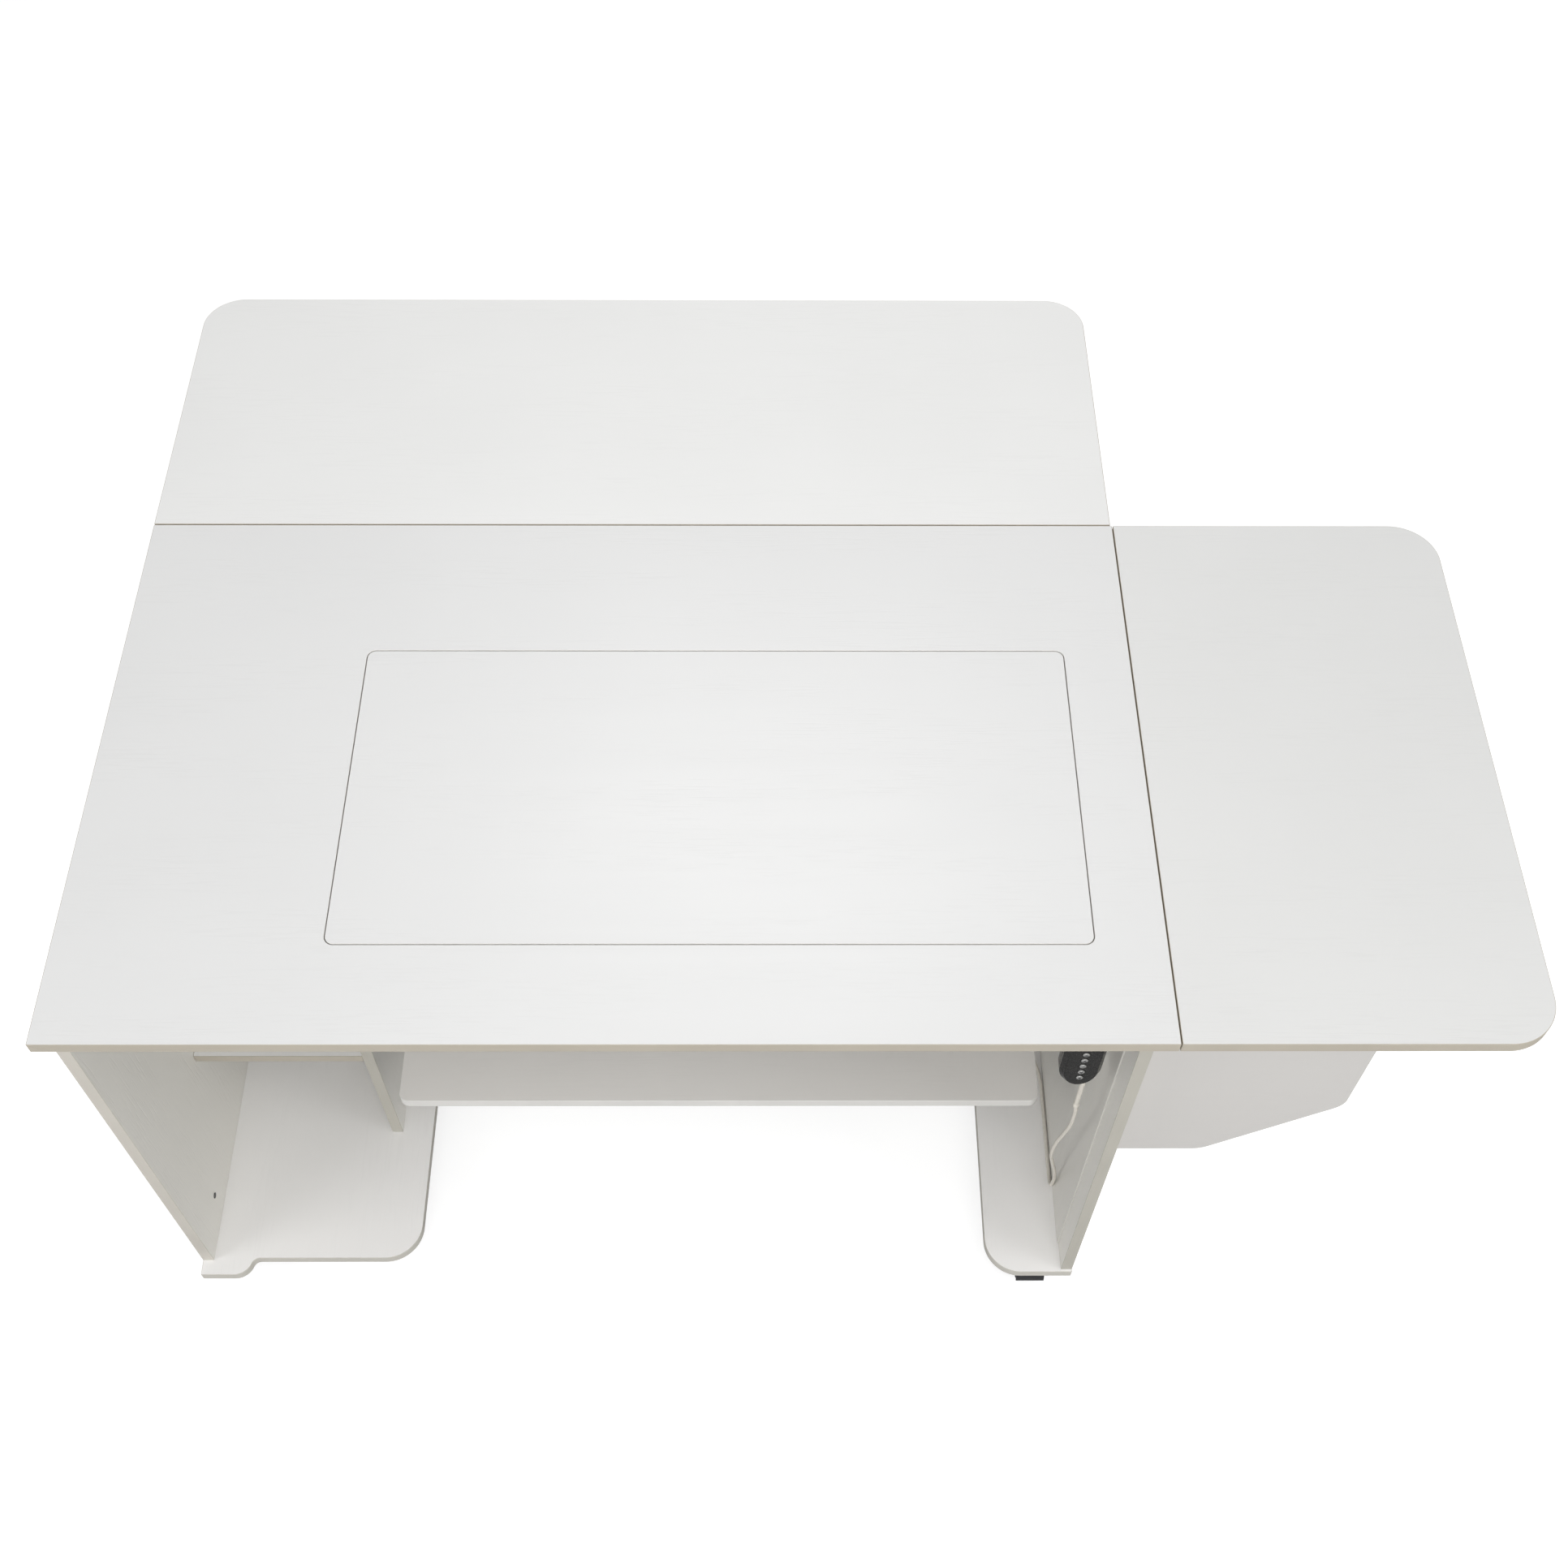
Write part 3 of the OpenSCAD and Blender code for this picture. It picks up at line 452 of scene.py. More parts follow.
def rounded_rectangle(x0, y0, x1, y1, radii=(0, 0, 0, 0)):
    """Counter-clockwise outline. radii are of the low-low, high-low, high-high and low-high corners."""
    points = []
    corners = ((x0, y0, 1, 1, 180), (x1, y0, -1, 1, 270), (x1, y1, -1, -1, 0), (x0, y1, 1, -1, 90))
    for (x, y, sx, sy, start), radius in zip(corners, radii):
        steps = 24 if radius > 5 * MM else 3
        radius = max(radius, SOFT_CORNER)
        points += arc((x + sx * radius, y + sy * radius), radius, start, start + 90, steps)
    return points


def inset(points, distance):
    """The closed outline moved inwards by distance, or outwards if it is negative."""
    moved = []
    for i, here in enumerate(points):
        before = (here - points[i - 1]).normalized()
        after = (points[(i + 1) % len(points)] - here).normalized()
        a = Vector((-before.y, before.x))
        b = Vector((-after.y, after.x))
        moved.append(here + (a + b) * (distance / (1 + a.dot(b))))
    return moved


def finish_mesh(name, bm, materials, weighted=True):
    bmesh.ops.recalc_face_normals(bm, faces=bm.faces)
    mesh = bpy.data.meshes.new(name)
    bm.to_mesh(mesh)
    bm.free()
    for made in materials:
        mesh.materials.append(made)
    for face in mesh.polygons:
        face.use_smooth = True
    made = bpy.data.objects.new(name, mesh)
    bpy.context.scene.collection.objects.link(made)
    if weighted:
        made.modifiers.new("even shading", "WEIGHTED_NORMAL").keep_sharp = True
    return made


PLANES = {
    "Z": lambda u, v, w: Vector((u, v, w)),
    "X": lambda u, v, w: Vector((w, u, v)),
    "Y": lambda u, v, w: Vector((u, w, v)),
}


EDGE_EASE = 0.7 * MM
EDGE_STEPS = 2


def prism_into(bm, outer, holes, low, high, axis, edge=EDGE_EASE, face_slot=0, side_slot=1, hole_slot=1):
    """Adds a plate with eased edges. Its outline lies across the axis and its holes go right through."""
    turn = [math.pi / 2 * i / EDGE_STEPS for i in range(EDGE_STEPS + 1)]
    profile = [(edge * (1 - math.sin(t)), low + edge * (1 - math.cos(t))) for t in turn]
    profile += [(edge * (1 - math.cos(t)), high - edge * (1 - math.sin(t))) for t in turn]
    caps = [[], []]
    for outline, sign, slot in [(outer, 1, side_slot)] + [(hole, -1, hole_slot) for hole in holes]:
        rings = []
        for shift, height in profile:
            ring = inset(outline, sign * shift)
            rings.append([bm.verts.new(PLANES[axis](p.x, p.y, height)) for p in ring])
        count = len(outline)
        for a, b in zip(rings, rings[1:]):
            for i in range(count):
                face = bm.faces.new((a[i], a[(i + 1) % count], b[(i + 1) % count], b[i]))
                face.material_index = slot
        caps[0].append(rings[0])
        caps[1].append(rings[-1])
    for rings in caps:
        if holes:
            edges = [
                bm.edges.get((ring[i], ring[(i + 1) % len(ring)])) for ring in rings for i in range(len(ring))
            ]
            made = bmesh.ops.triangle_fill(bm, edges=edges, use_beauty=True)["geom"]
            faces = [g for g in made if isinstance(g, bmesh.types.BMFace)]
        else:
            faces = [bm.faces.new(rings[0])]
        for face in faces:
            face.material_index = face_slot


def board(name, node, body, axis, face, band, outline=None, radii=(0, 0, 0, 0), holes=(),
          hole_band=None, edge=EDGE_EASE):
    """A laminated board in the place of its CAD node, its thickness along the axis."""
    low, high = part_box(node)
    across, up, thick = {"Z": (0, 1, 2), "X": (1, 2, 0), "Y": (0, 2, 1)}[axis]
    if outline is None:
        outline = rounded_rectangle(low[across], low[up], high[across], high[up], radii)
    bm = bmesh.new()
    finishes = [face, band] + ([hole_band] if hole_band else [])
    prism_into(bm, outline, list(holes), low[thick], high[thick], axis, edge, hole_slot=len(finishes) - 1)
    made = finish_mesh(name, bm, finishes)
    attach(made, body)
    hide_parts(node)
    return made


def lathe_into(bm, profile, centre, axis, sides=48, slot=0, closed=False):
    """Adds a turned shape: profile is a list of (distance along the axis, radius)."""
    frame_of = {
        "X": (Vector((1, 0, 0)), Vector((0, 1, 0)), Vector((0, 0, 1))),
        "Y": (Vector((0, 1, 0)), Vector((0, 0, 1)), Vector((1, 0, 0))),
        "Z": (Vector((0, 0, 1)), Vector((1, 0, 0)), Vector((0, 1, 0))),
    }[axis]
    rings = []
    for distance, radius in profile:
        if radius < 1e-7:
            rings.append([bm.verts.new(centre + frame_of[0] * distance)])
            continue
        rings.append([
            bm.verts.new(
                centre + frame_of[0] * distance
                + frame_of[1] * (radius * math.cos(2 * math.pi * k / sides))
                + frame_of[2] * (radius * math.sin(2 * math.pi * k / sides))
            )
            for k in range(sides)
        ])
    pairs = list(zip(rings, rings[1:]))
    if closed:
        pairs.append((rings[-1], rings[0]))
    for a, b in pairs:
        for k in range(sides):
            m = (k + 1) % sides
            corners = (a[k % len(a)], a[m % len(a)], b[m % len(b)], b[k % len(b)])
            face = bm.faces.new(list(dict.fromkeys(corners)))
            face.material_index = slot


def box_into(bm, low, high, edge=0.6 * MM, slot=0, corner=None):
    """Adds a block with eased edges."""
    radius = SOFT_CORNER if corner is None else corner
    outline = rounded_rectangle(low[0], low[1], high[0], high[1], (radius,) * 4)
    prism_into(bm, outline, [], low[2], high[2], "Z", edge, face_slot=slot, side_slot=slot)


def screw_head_into(bm, place, axis, radius=3.2 * MM, proud=1.2 * MM, slot=0):
    """A pan head with a round recess. It stands proud along the axis; a negative proud turns it round."""
    s = 1 if proud > 0 else -1
    h = abs(proud)
    lathe_into(bm, [
        (0, radius), (s * 0.35 * h, radius), (s * 0.75 * h, radius * 0.86), (s * h, radius * 0.55),
        (s * h, radius * 0.3), (s * 0.45 * h, radius * 0.12), (s * 0.45 * h, 0),
    ], place, axis, 20, slot)


def piece(name, bm, materials, body, replaces=(), weighted=True):
    made = finish_mesh(name, bm, materials, weighted=weighted)
    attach(made, body)
    if replaces:
        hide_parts(*replaces)
    return made


# ---- Cords ----

HANDSET_ROUTE = [
    (1129, 51, 500), (1130.5, 51, 488), (1132, 54, 459), (1133, 60, 422), (1132, 70, 375),
    (1131, 80, 331), (1131.5, 88, 287), (1134.5, 95, 251), (1141, 101, 214), (1149, 108, 173),
    (1155, 115, 133), (1157.5, 121, 102), (1158, 125, 83), (1158, 131, 71), (1158, 142, 66),
    (1158, 160, 66), (1158, 203, 66), (1158, 260, 66), (1157, 290, 67), (1150, 318, 70),
    (1140, 342, 76), (1132, 360, 80), (1130, 372, 80),
]
MOTOR_ROUTE = [
    (844, 515, 195), (862, 515, 195), (885, 522, 190), (915, 531, 182), (950, 534, 176),
    (985, 534, 170), (1015, 532, 155), (1038, 526, 128), (1056, 516, 100), (1065, 512, 92), (1075, 512, 90),
]
CORD_RADIUS = 2.5 * MM
CURVE_STEPS = 6


def smooth_route(route):
    """Points on the Catmull-Rom curve through a route."""
    points = [at(*p) for p in route]
    last = len(points) - 1
    made = []
    for i in range(last):
        a, b = points[max(i - 1, 0)], points[i]
        c, d = points[i + 1], points[min(i + 2, last)]
        for k in range(CURVE_STEPS):
            t = k / CURVE_STEPS
            made.append(0.5 * (
                2 * b + (c - a) * t + (2 * a - 5 * b + 4 * c - d) * t ** 2 + (3 * b - a - 3 * c + d) * t ** 3
            ))
    return made + [points[last]]


def route_length(points):
    return sum((b - a).length for a, b in zip(points, points[1:]))


def cord_curve(name, route, radius, material, node):
    points = smooth_route(route)
    data = bpy.data.curves.new(name, "CURVE")
    data.dimensions = "3D"
    data.bevel_depth = radius
    data.bevel_resolution = 4
    data.use_fill_caps = True
    spline = data.splines.new("POLY")
    spline.points.add(len(points) - 1)
    for target, point in zip(spline.points, points):
        target.co = (*point, 1)
    spline.use_smooth = True
    data.materials.append(material)
    made = bpy.data.objects.new(name, data)
    bpy.context.scene.collection.objects.link(made)
    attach(made, "cabinet")
    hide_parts(node)
    return made, route_length(points)


def strain_relief():
    """A long smooth sleeve that leaves the housing, with a short collar at its lower end."""
    low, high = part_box("cord_strain_relief")
    centre = Vector(((low.x + high.x) / 2, (low.y + high.y) / 2, low.z))
    length = high.z - low.z
    collar, collar_r, low_r, top_r = 7 * MM, 3.7 * MM, 2.9 * MM, 3.2 * MM
    bore, ease = CORD_RADIUS + 0.05 * MM, 0.5 * MM
    profile = [
        (0, bore), (0, collar_r - ease), (0.15 * MM, collar_r - 0.15 * MM), (ease, collar_r),
        (collar - ease, collar_r), (collar - 0.1 * MM, collar_r - 0.2 * MM), (collar, low_r + 0.15 * MM),
        (collar + 0.6 * MM, low_r), (length - 24 * MM, top_r - 0.12 * MM),
    ]
    for i in range(3):
        start = length - (20 - 3.2 * i) * MM
        profile += [(start, top_r - 0.1 * MM), (start + 0.3 * MM, top_r - 0.7 * MM),
                    (start + 1.1 * MM, top_r - 0.7 * MM), (start + 1.4 * MM, top_r - 0.1 * MM)]
    profile += [(length - 8 * MM, top_r), (length - 0.3 * MM, top_r),
                (length, top_r - 0.3 * MM), (length, bore)]
    bm = bmesh.new()
    lathe_into(bm, profile, centre, "Z", 32, closed=True)
    return piece("cord_sleeve", bm, [CORD_JACKET], "cabinet", ["cord_strain_relief"],
                 weighted=False)


def cord_plug_piece():
    """A round plug with finger rings and a chamfered nose that meets the control box."""
    low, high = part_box("cord_plug")
    centre = Vector(((low.x + high.x) / 2, low.y, (low.z + high.z) / 2))
    radius = (high.x - low.x) / 2
    length = high.y - low.y
    profile = [(0, 2.55 * MM), (0, 3.4 * MM), (0.8 * MM, 4 * MM), (6 * MM, 4.6 * MM)]
    for i in range(5):
        start = (7 + i * 3) * MM
        profile += [(start, radius - 1.1 * MM), (start + 0.6 * MM, radius - 0.1 * MM),
                    (start + 1.8 * MM, radius - 0.1 * MM), (start + 2.4 * MM, radius - 1.1 * MM)]
    profile += [(length - 5 * MM, radius), (length - 0.6 * MM, radius),
                (length, radius - 0.6 * MM), (length, 0)]
    bm = bmesh.new()
    lathe_into(bm, profile, centre, "Y", 32)
    return piece("cord_plug_piece", bm, [DARK_PLASTIC], "cabinet", ["cord_plug"],
                 weighted=False)


sleeve = strain_relief()
plug = cord_plug_piece()
cord, cord_length = cord_curve(
    "handset_lead", HANDSET_ROUTE, CORD_RADIUS, CORD_JACKET, "handset_cord"
)
cord_curve("motor_lead", MOTOR_ROUTE, CORD_RADIUS, CABLE_JACKET, "motor_cable")


# ---- Tops ----

OPENING_R = 11 * MM
INSERT_GAP = 1 * MM
LEAF_R = 52 * MM
RIGHT_LEAF_R = 56 * MM


def main_top():
    low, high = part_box("insert_panel")
    hole = rounded_rectangle(
        low.x - INSERT_GAP, low.y - INSERT_GAP, high.x + INSERT_GAP, high.y + INSERT_GAP, (OPENING_R,) * 4
    )
    board("tabletop", "main_top", "cabinet", "Z", TOP_FACE, BAND_X, holes=[hole],
          hole_band=PALE_BAND_PAINTED_LIGHT)


main_top()
board("lift_off_insert", "insert_panel", "insert", "Z", TOP_FACE, PALE_BAND_PAINTED_LIGHT,
      radii=(OPENING_R - INSERT_GAP,) * 4)
board("rear_drop_leaf", "rear_leaf", "rear_leaf_body", "Z", LEAF_FACE_PAINTED_LIGHT, BAND_X,
      radii=(0, 0, LEAF_R, LEAF_R))
board("right_drop_leaf", "right_leaf", "right_leaf_body", "Z", RIGHT_LEAF_FACE_PAINTED_SHADE, BAND_Y,
      radii=(0, RIGHT_LEAF_R, RIGHT_LEAF_R, 0))


# ---- Cabinet boards ----

BASE_R = 47 * MM


def left_base_outline():
    """Rounded on its right side, with a tab that reaches forward in front of the left side panel."""
    low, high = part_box("left_base_board")
    front = at(0, 28, 0).y
    tab_end = at(50, 0, 0).x
    fillet = 10 * MM
    radius = front - low.y
    reach = math.sqrt((radius + fillet) ** 2 - fillet ** 2)
    meet = math.degrees(math.atan2(-fillet, reach))
    tab = arc((tab_end, front), radius, -90, meet, 14)
    inner = arc((tab_end + reach, front - fillet), fillet, 180 + meet, 90, 8)
    points = [Vector((low.x + SOFT_CORNER, low.y))] + tab + inner[1:]
    points += arc((high.x - BASE_R, front + BASE_R), BASE_R, -90, 0, 24)
    points += arc((high.x - BASE_R, high.y - BASE_R), BASE_R, 0, 90, 24)
    points += arc((low.x + SOFT_CORNER, high.y - SOFT_CORNER), SOFT_CORNER, 90, 180, 3)
    points += arc((low.x + SOFT_CORNER, low.y + SOFT_CORNER), SOFT_CORNER, 180, 270, 3)[:-1]
    return points


board("left_base", "left_base_board", "cabinet", "Z", BASE_FACE_PAINTED_LIGHT, BASE_BAND_PAINTED_LIGHT,
      outline=left_base_outline())
board("right_base", "right_base_board", "cabinet", "Z", BASE_FACE_PAINTED_LIGHT, BASE_BAND_PAINTED_LIGHT,
      radii=(BASE_R, 0, 0, BASE_R))
board("left_side", "left_side_panel", "cabinet", "X", PANEL_FACE_PAINTED_LIGHT, LEFT_BAND_PAINTED_LIGHT)
board("right_side", "right_side_panel", "cabinet", "X", PANEL_FACE_PAINTED_LIGHT, BAND_Z)
board("divider", "divider_panel", "cabinet", "X", PANEL_FACE_PAINTED_LIGHT, BAND_Z)
board("shelf", "mid_shelf", "cabinet", "Z", BASE_FACE_PAINTED_LIGHT, BAND_X)
board("apron", "rear_apron", "cabinet", "Y", LEAF_FACE_PAINTED_LIGHT, BAND_X)
board("stretcher", "base_stretcher", "cabinet", "Y", LEAF_FACE_PAINTED_LIGHT, BAND_X)
board("lift_back", "back_panel", "cabinet", "Y", BACKING, BAND_X)
board("cupboard_back", "compartment_back", "cabinet", "Y", BACKING, BAND_X, edge=0.4 * MM)
board("liner", "right_liner", "cabinet", "X", LINER_FACE_PAINTED_SHADE, LINER_BAND_PAINTED_LIGHT, edge=0.3 * MM)
board("platform", "machine_platform", "lift_carriage", "Z", PLATFORM_FACE_PAINTED_SHADE, PALE_BAND_PAINTED_LIGHT,
      radii=(12 * MM,) * 4)


def bracket_outline():
    """A panel whose lower outer corner is cut off, with rounds where the cut starts and ends."""
    low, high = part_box("bracket_panel")
    radius, small = 30 * MM, 4 * MM
    toe = low.x + 133 * MM - radius
    edge = at(0, 0, 527).z
    a, b = Vector((toe, low.z + radius)), Vector((high.x - radius, edge))
    slope = math.degrees(math.atan2(b.y - a.y, b.x - a.x))
    points = [Vector((low.x + SOFT_CORNER, low.z))]
    points += arc(a, radius, -90, slope - 90, 10)
    points += arc(b, radius, slope - 90, 0, 10)
    points += arc((high.x - small, high.z - small), small, 0, 90, 6)
    points += arc((low.x + SOFT_CORNER, high.z - SOFT_CORNER), SOFT_CORNER, 90, 180, 3)
    points += arc((low.x + SOFT_CORNER, low.z + SOFT_CORNER), SOFT_CORNER, 180, 270, 3)[:-1]
    return points


board("bracket", "bracket_panel", "swing_bracket", "Y", BRACKET_FACE_PAINTED_SHADE, BAND_Z,
      outline=bracket_outline())


# ---- Handset ----

def handset_outline():
    """Front view of the handset: its lower end is half an ellipse and its upper corners are small rounds."""
    low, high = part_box("handset_front")
    middle, half, tall, small = (low.x + high.x) / 2, (high.x - low.x) / 2, 36 * MM, 8 * MM
    lower = [
        Vector((middle + half * math.cos(math.radians(a)), low.z + tall + tall * math.sin(math.radians(a))))
        for a in range(180, 361, 4)
    ]
    return (
        lower
        + arc((high.x - small, high.z - small), small, 0, 90, 10)
        + arc((low.x + small, high.z - small), small, 90, 180, 10)
    )


def button_centres():
    """Number, centre of the front, radius and back of each button."""
    for number in range(1, 6):
        low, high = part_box(f"handset_button_{number}")
        centre = Vector(((low.x + high.x) / 2, low.y, (low.z + high.z) / 2))
        yield number, centre, (high.x - low.x) / 2, high.y


def handset():
    front_low, front_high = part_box("handset_front")
    back_low, back_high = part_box("handset_back")
    outline = handset_outline()
    slope, slope_depth, turn_in = 5.2 * MM, 5.6 * MM, 0.5 * MM
    round_back, lip = 3.5 * MM, 0.5 * MM
    steps = 6
    holes = [
        [Vector((c.x, c.z)) + p for p in arc((0, 0), radius + 0.3 * MM, 0, 345, 23)]
        for _, c, radius, _ in button_centres()
    ]
    bm = bmesh.new()
    rings = []
    profile = [
        (lip, front_high.y), (0, front_high.y - lip), (0, front_low.y + slope_depth + turn_in),
        (0.3 * turn_in, front_low.y + slope_depth), (slope - turn_in, front_low.y + 0.8 * turn_in),
        (slope, front_low.y + 0.2 * turn_in), (slope + turn_in, front_low.y),
    ]
    for shift, y in profile:
        rings.append([bm.verts.new((p.x, y, p.y)) for p in inset(outline, shift)])
    count = len(outline)
    for a, b in zip(rings, rings[1:]):
        for i in range(count):
            bm.faces.new((a[i], a[(i + 1) % count], b[(i + 1) % count], b[i]))
    bm.faces.new(rings[0])
    loops = [rings[-1]]
    for hole in holes:
        walls = [[bm.verts.new((p.x, y, p.y)) for p in inset(hole, -shift)] for shift, y in (
            (0.4 * MM, front_low.y), (0, front_low.y + 0.4 * MM), (0, front_low.y + 7 * MM))]
        for a, b in zip(walls, walls[1:]):
            for i in range(len(hole)):
                bm.faces.new((a[i], a[(i + 1) % len(hole)], b[(i + 1) % len(hole)], b[i]))
        bm.faces.new(walls[-1])
        loops.append(walls[0])
    edges = [bm.edges.get((r[i], r[(i + 1) % len(r)])) for r in loops for i in range(len(r))]
    bmesh.ops.triangle_fill(bm, edges=edges, use_beauty=True)
    piece("handset_face", bm, [HANDSET_PLASTIC], "cabinet", ["handset_front"])

    bm = bmesh.new()
    profile = [(lip, back_low.y), (0, back_low.y + lip), (0, back_high.y - round_back)]
    for i in range(1, steps + 1):
        t = math.pi / 2 * i / steps
        profile.append((round_back * (1 - math.cos(t)), back_high.y - round_back * (1 - math.sin(t))))
    rings = [[bm.verts.new((p.x, y, p.y)) for p in inset(outline, shift)] for shift, y in profile]
    for a, b in zip(rings, rings[1:]):
        for i in range(count):
            bm.faces.new((a[i], a[(i + 1) % count], b[(i + 1) % count], b[i]))
    bm.faces.new(rings[0])
    bm.faces.new(rings[-1])
    piece("handset_shell", bm, [HANDSET_PLASTIC], "cabinet", ["handset_back"])


def handset_buttons():
    """Domed silver caps: dark arrows down on caps 1 and 2, a bar on 3 and arrows up on 4 and 5."""
    for number, centre, radius, back in button_centres():
        depth = back - centre.y
        bm = bmesh.new()
        lathe_into(bm, [
            (0.0, 0), (0.05 * MM, radius * 0.35), (0.2 * MM, radius * 0.7),
            (0.5 * MM, radius * 0.9), (0.9 * MM, radius), (depth, radius), (depth, 0),
        ], centre, "Y", 32)
        half = radius * 0.55
        if number != 3:
            turn = 1 if number > 3 else -1
            mark = [(-half, -turn * half * 0.6), (half, -turn * half * 0.6), (0, turn * half)]
            if turn < 0:
                mark.reverse()
        else:
            mark = [(-half, -half * 0.28), (half, -half * 0.28), (half, half * 0.28), (-half, half * 0.28)]
        flat = [Vector((centre.x + x, centre.z + z)) for x, z in mark]
        prism_into(bm, flat, [], centre.y - 0.02 * MM, centre.y + 0.3 * MM, "Y", 0.01 * MM,
                   face_slot=1, side_slot=1)
        piece(f"button_cap_{number}", bm, [BUTTON_FACE, BUTTON_MARK], f"button_{number}",
              [f"handset_button_{number}"])


handset()
handset_buttons()


# ---- Casters ----

def caster_wheels(number):
    """Two wheels, each with a rounded tread, a dished side and a hub."""
    node = f"caster_{number}_wheels"
    low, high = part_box(node)
    centre = (low + high) / 2
    radius = (high.z - low.z) / 2
    inner, bore = 6 * MM, 3.05 * MM
    width = (high.x - low.x) / 2 - inner
    bm = bmesh.new()
    for side in (-1, 1):
        face, rim = side * inner, side * (inner + width)
        shoulder = 4 * MM
        turned = [
            (rim - side * shoulder * (1 - math.sin(t)), radius - shoulder * (1 - math.cos(t)))
            for t in (math.pi / 2 * i / 6 for i in range(7))
        ]
        lathe_into(bm, [
            (face, bore), (face, radius - 3 * MM), (face + side * 0.8 * MM, radius - 1 * MM),
            (face + side * 2 * MM, radius),
        ] + turned[:4], centre, "X", 56, slot=0)
        lathe_into(bm, turned[3:] + [
            (rim - side * 0.3 * MM, radius - 4.6 * MM), (rim - side * 2 * MM, radius - 5.4 * MM),
            (rim - side * 2.3 * MM, 8 * MM), (rim - side * 0.6 * MM, 7 * MM),
            (rim - side * 0.3 * MM, 4.6 * MM), (rim - side * 0.6 * MM, bore), (face, bore),
        ], centre, "X", 56, slot=1)
    bmesh.ops.remove_doubles(bm, verts=bm.verts, dist=1e-6)
    piece(f"caster_{number}_tyres", bm, [TREAD, DARK_PLASTIC], f"caster_{number}_roll",
          [node])


for number in range(1, 5):
    caster_wheels(number)


# ---- Lift ----

def lift_screw():
    """A left-hand four-start screw: its thread rises against the turn, 20 mm for each."""
    low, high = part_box("lift_screw")
    centre = Vector(((low.x + high.x) / 2, (low.y + high.y) / 2, 0))
    crest = (high.x - low.x) / 2
    lead, starts, depth, sides = 20 * MM, 4, 1.1 * MM, 28
    plain = 26 * MM
    step = lead / starts / 8
    count = int((high.z - low.z) / step)
    rings = []
    bm = bmesh.new()
    for j in range(count + 1):
        z = low.z + (high.z - low.z) * j / count
        ring = []
        for k in range(sides):
            wave = (starts * (z / lead + k / sides)) % 1
            flank = min(1, max(0, 2.4 * abs(2 * wave - 1) - 0.7))
            smooth_end = z < low.z + plain or z > high.z - plain
            radius = crest - (0.5 * depth if smooth_end else depth * (1 - flank))
            turn = 2 * math.pi * k / sides
            ring.append(bm.verts.new(centre + Vector((radius * math.cos(turn), radius * math.sin(turn), z))))
        rings.append(ring)
    for a, b in zip(rings, rings[1:]):
        for k in range(sides):
            bm.faces.new((a[k], a[(k + 1) % sides], b[(k + 1) % sides], b[k]))
    bm.faces.new(rings[0])
    bm.faces.new(rings[-1])
    piece("threaded_spindle", bm, [SCREW_STEEL], "screw", ["lift_screw"], weighted=False)


def lift_motor():
    """A finned round motor with an end cap and its through bolts."""
    low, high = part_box("lift_motor")
    centre = Vector((low.x, (low.y + high.y) / 2, (low.z + high.z) / 2))
    radius = (high.z - low.z) / 2
    length = high.x - low.x
    profile = [(0, 0), (0, radius - 1 * MM), (1 * MM, radius), (9 * MM, radius), (10 * MM, radius - 1.5 * MM)]
    fins = 12
    for i in range(fins):
        start = (12 + i * 6) * MM
        profile += [(start, radius - 2 * MM), (start + 0.6 * MM, radius - 0.2 * MM),
                    (start + 3 * MM, radius - 0.2 * MM), (start + 3.6 * MM, radius - 2 * MM)]
    profile += [(length - 22 * MM, radius - 1.5 * MM), (length - 21 * MM, radius), (length - 10 * MM, radius),
                (length - 8 * MM, radius - 2 * MM), (length - 7.5 * MM, radius - 5 * MM),
                (length - 1 * MM, radius - 5 * MM), (length, radius - 6 * MM), (length, 0)]
    bm = bmesh.new()
    lathe_into(bm, profile, centre, "X", 56)
    for k in range(4):
        turn = math.radians(45 + 90 * k)
        reach = radius - 3.6 * MM
        off = Vector((length - 9 * MM, reach * math.cos(turn), reach * math.sin(turn)))
        screw_head_into(bm, centre + off, "X", 2.6 * MM, 2 * MM, slot=1)
    piece("motor_body", bm, [MOTOR_PAINT, FASTENER], "cabinet", ["lift_motor"], weighted=False)


def lift_gearbox():
    """A cast housing in two halves, bolted together, with a bore for the spindle."""
    low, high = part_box("lift_gearbox")
    split = low.z + (high.z - low.z) * 0.56
    inside = 1.2 * MM
    bm = bmesh.new()
    corner = 5 * MM
    box_into(bm, low, Vector((high.x, high.y, split - 0.6 * MM)), 1.4 * MM, corner=corner)
    box_into(bm, Vector((low.x + inside, low.y + inside, split - 0.8 * MM)),
             Vector((high.x - inside, high.y - inside, split + 0.8 * MM)), 0.2 * MM, corner=corner)
    middle = (low.x + high.x) / 2
    spindle_y = at(0, 522, 0).y
    top_cover = rounded_rectangle(low.x, low.y, high.x, high.y, (corner,) * 4)
    bore = [Vector((middle, spindle_y)) + p for p in arc((0, 0), 8.4 * MM, 0, 345, 23)]
    prism_into(bm, top_cover, [bore], split + 0.6 * MM, high.z, "Z", 1.4 * MM, face_slot=0, side_slot=0)
    for sx in (-1, 1):
        for sy in (0, 1):
            y = low.y + 6.5 * MM if sy == 0 else high.y - 6.5 * MM
            place = Vector((middle + sx * 20.5 * MM, y, high.z - 0.2 * MM))
            screw_head_into(bm, place, "Z", 3 * MM, 0.1 * MM, 1)
    for z in (low.z + 9 * MM, split - 9 * MM, high.z - 9 * MM):
        for sx in (-1, 1):
            place = Vector((middle + sx * 20.5 * MM, low.y + 0.1 * MM, z))
            screw_head_into(bm, place, "Y", 2.6 * MM, -1.2 * MM, 1)
    piece("gear_housing", bm, [GREY_PAINT, FASTENER], "cabinet", ["lift_gearbox"])


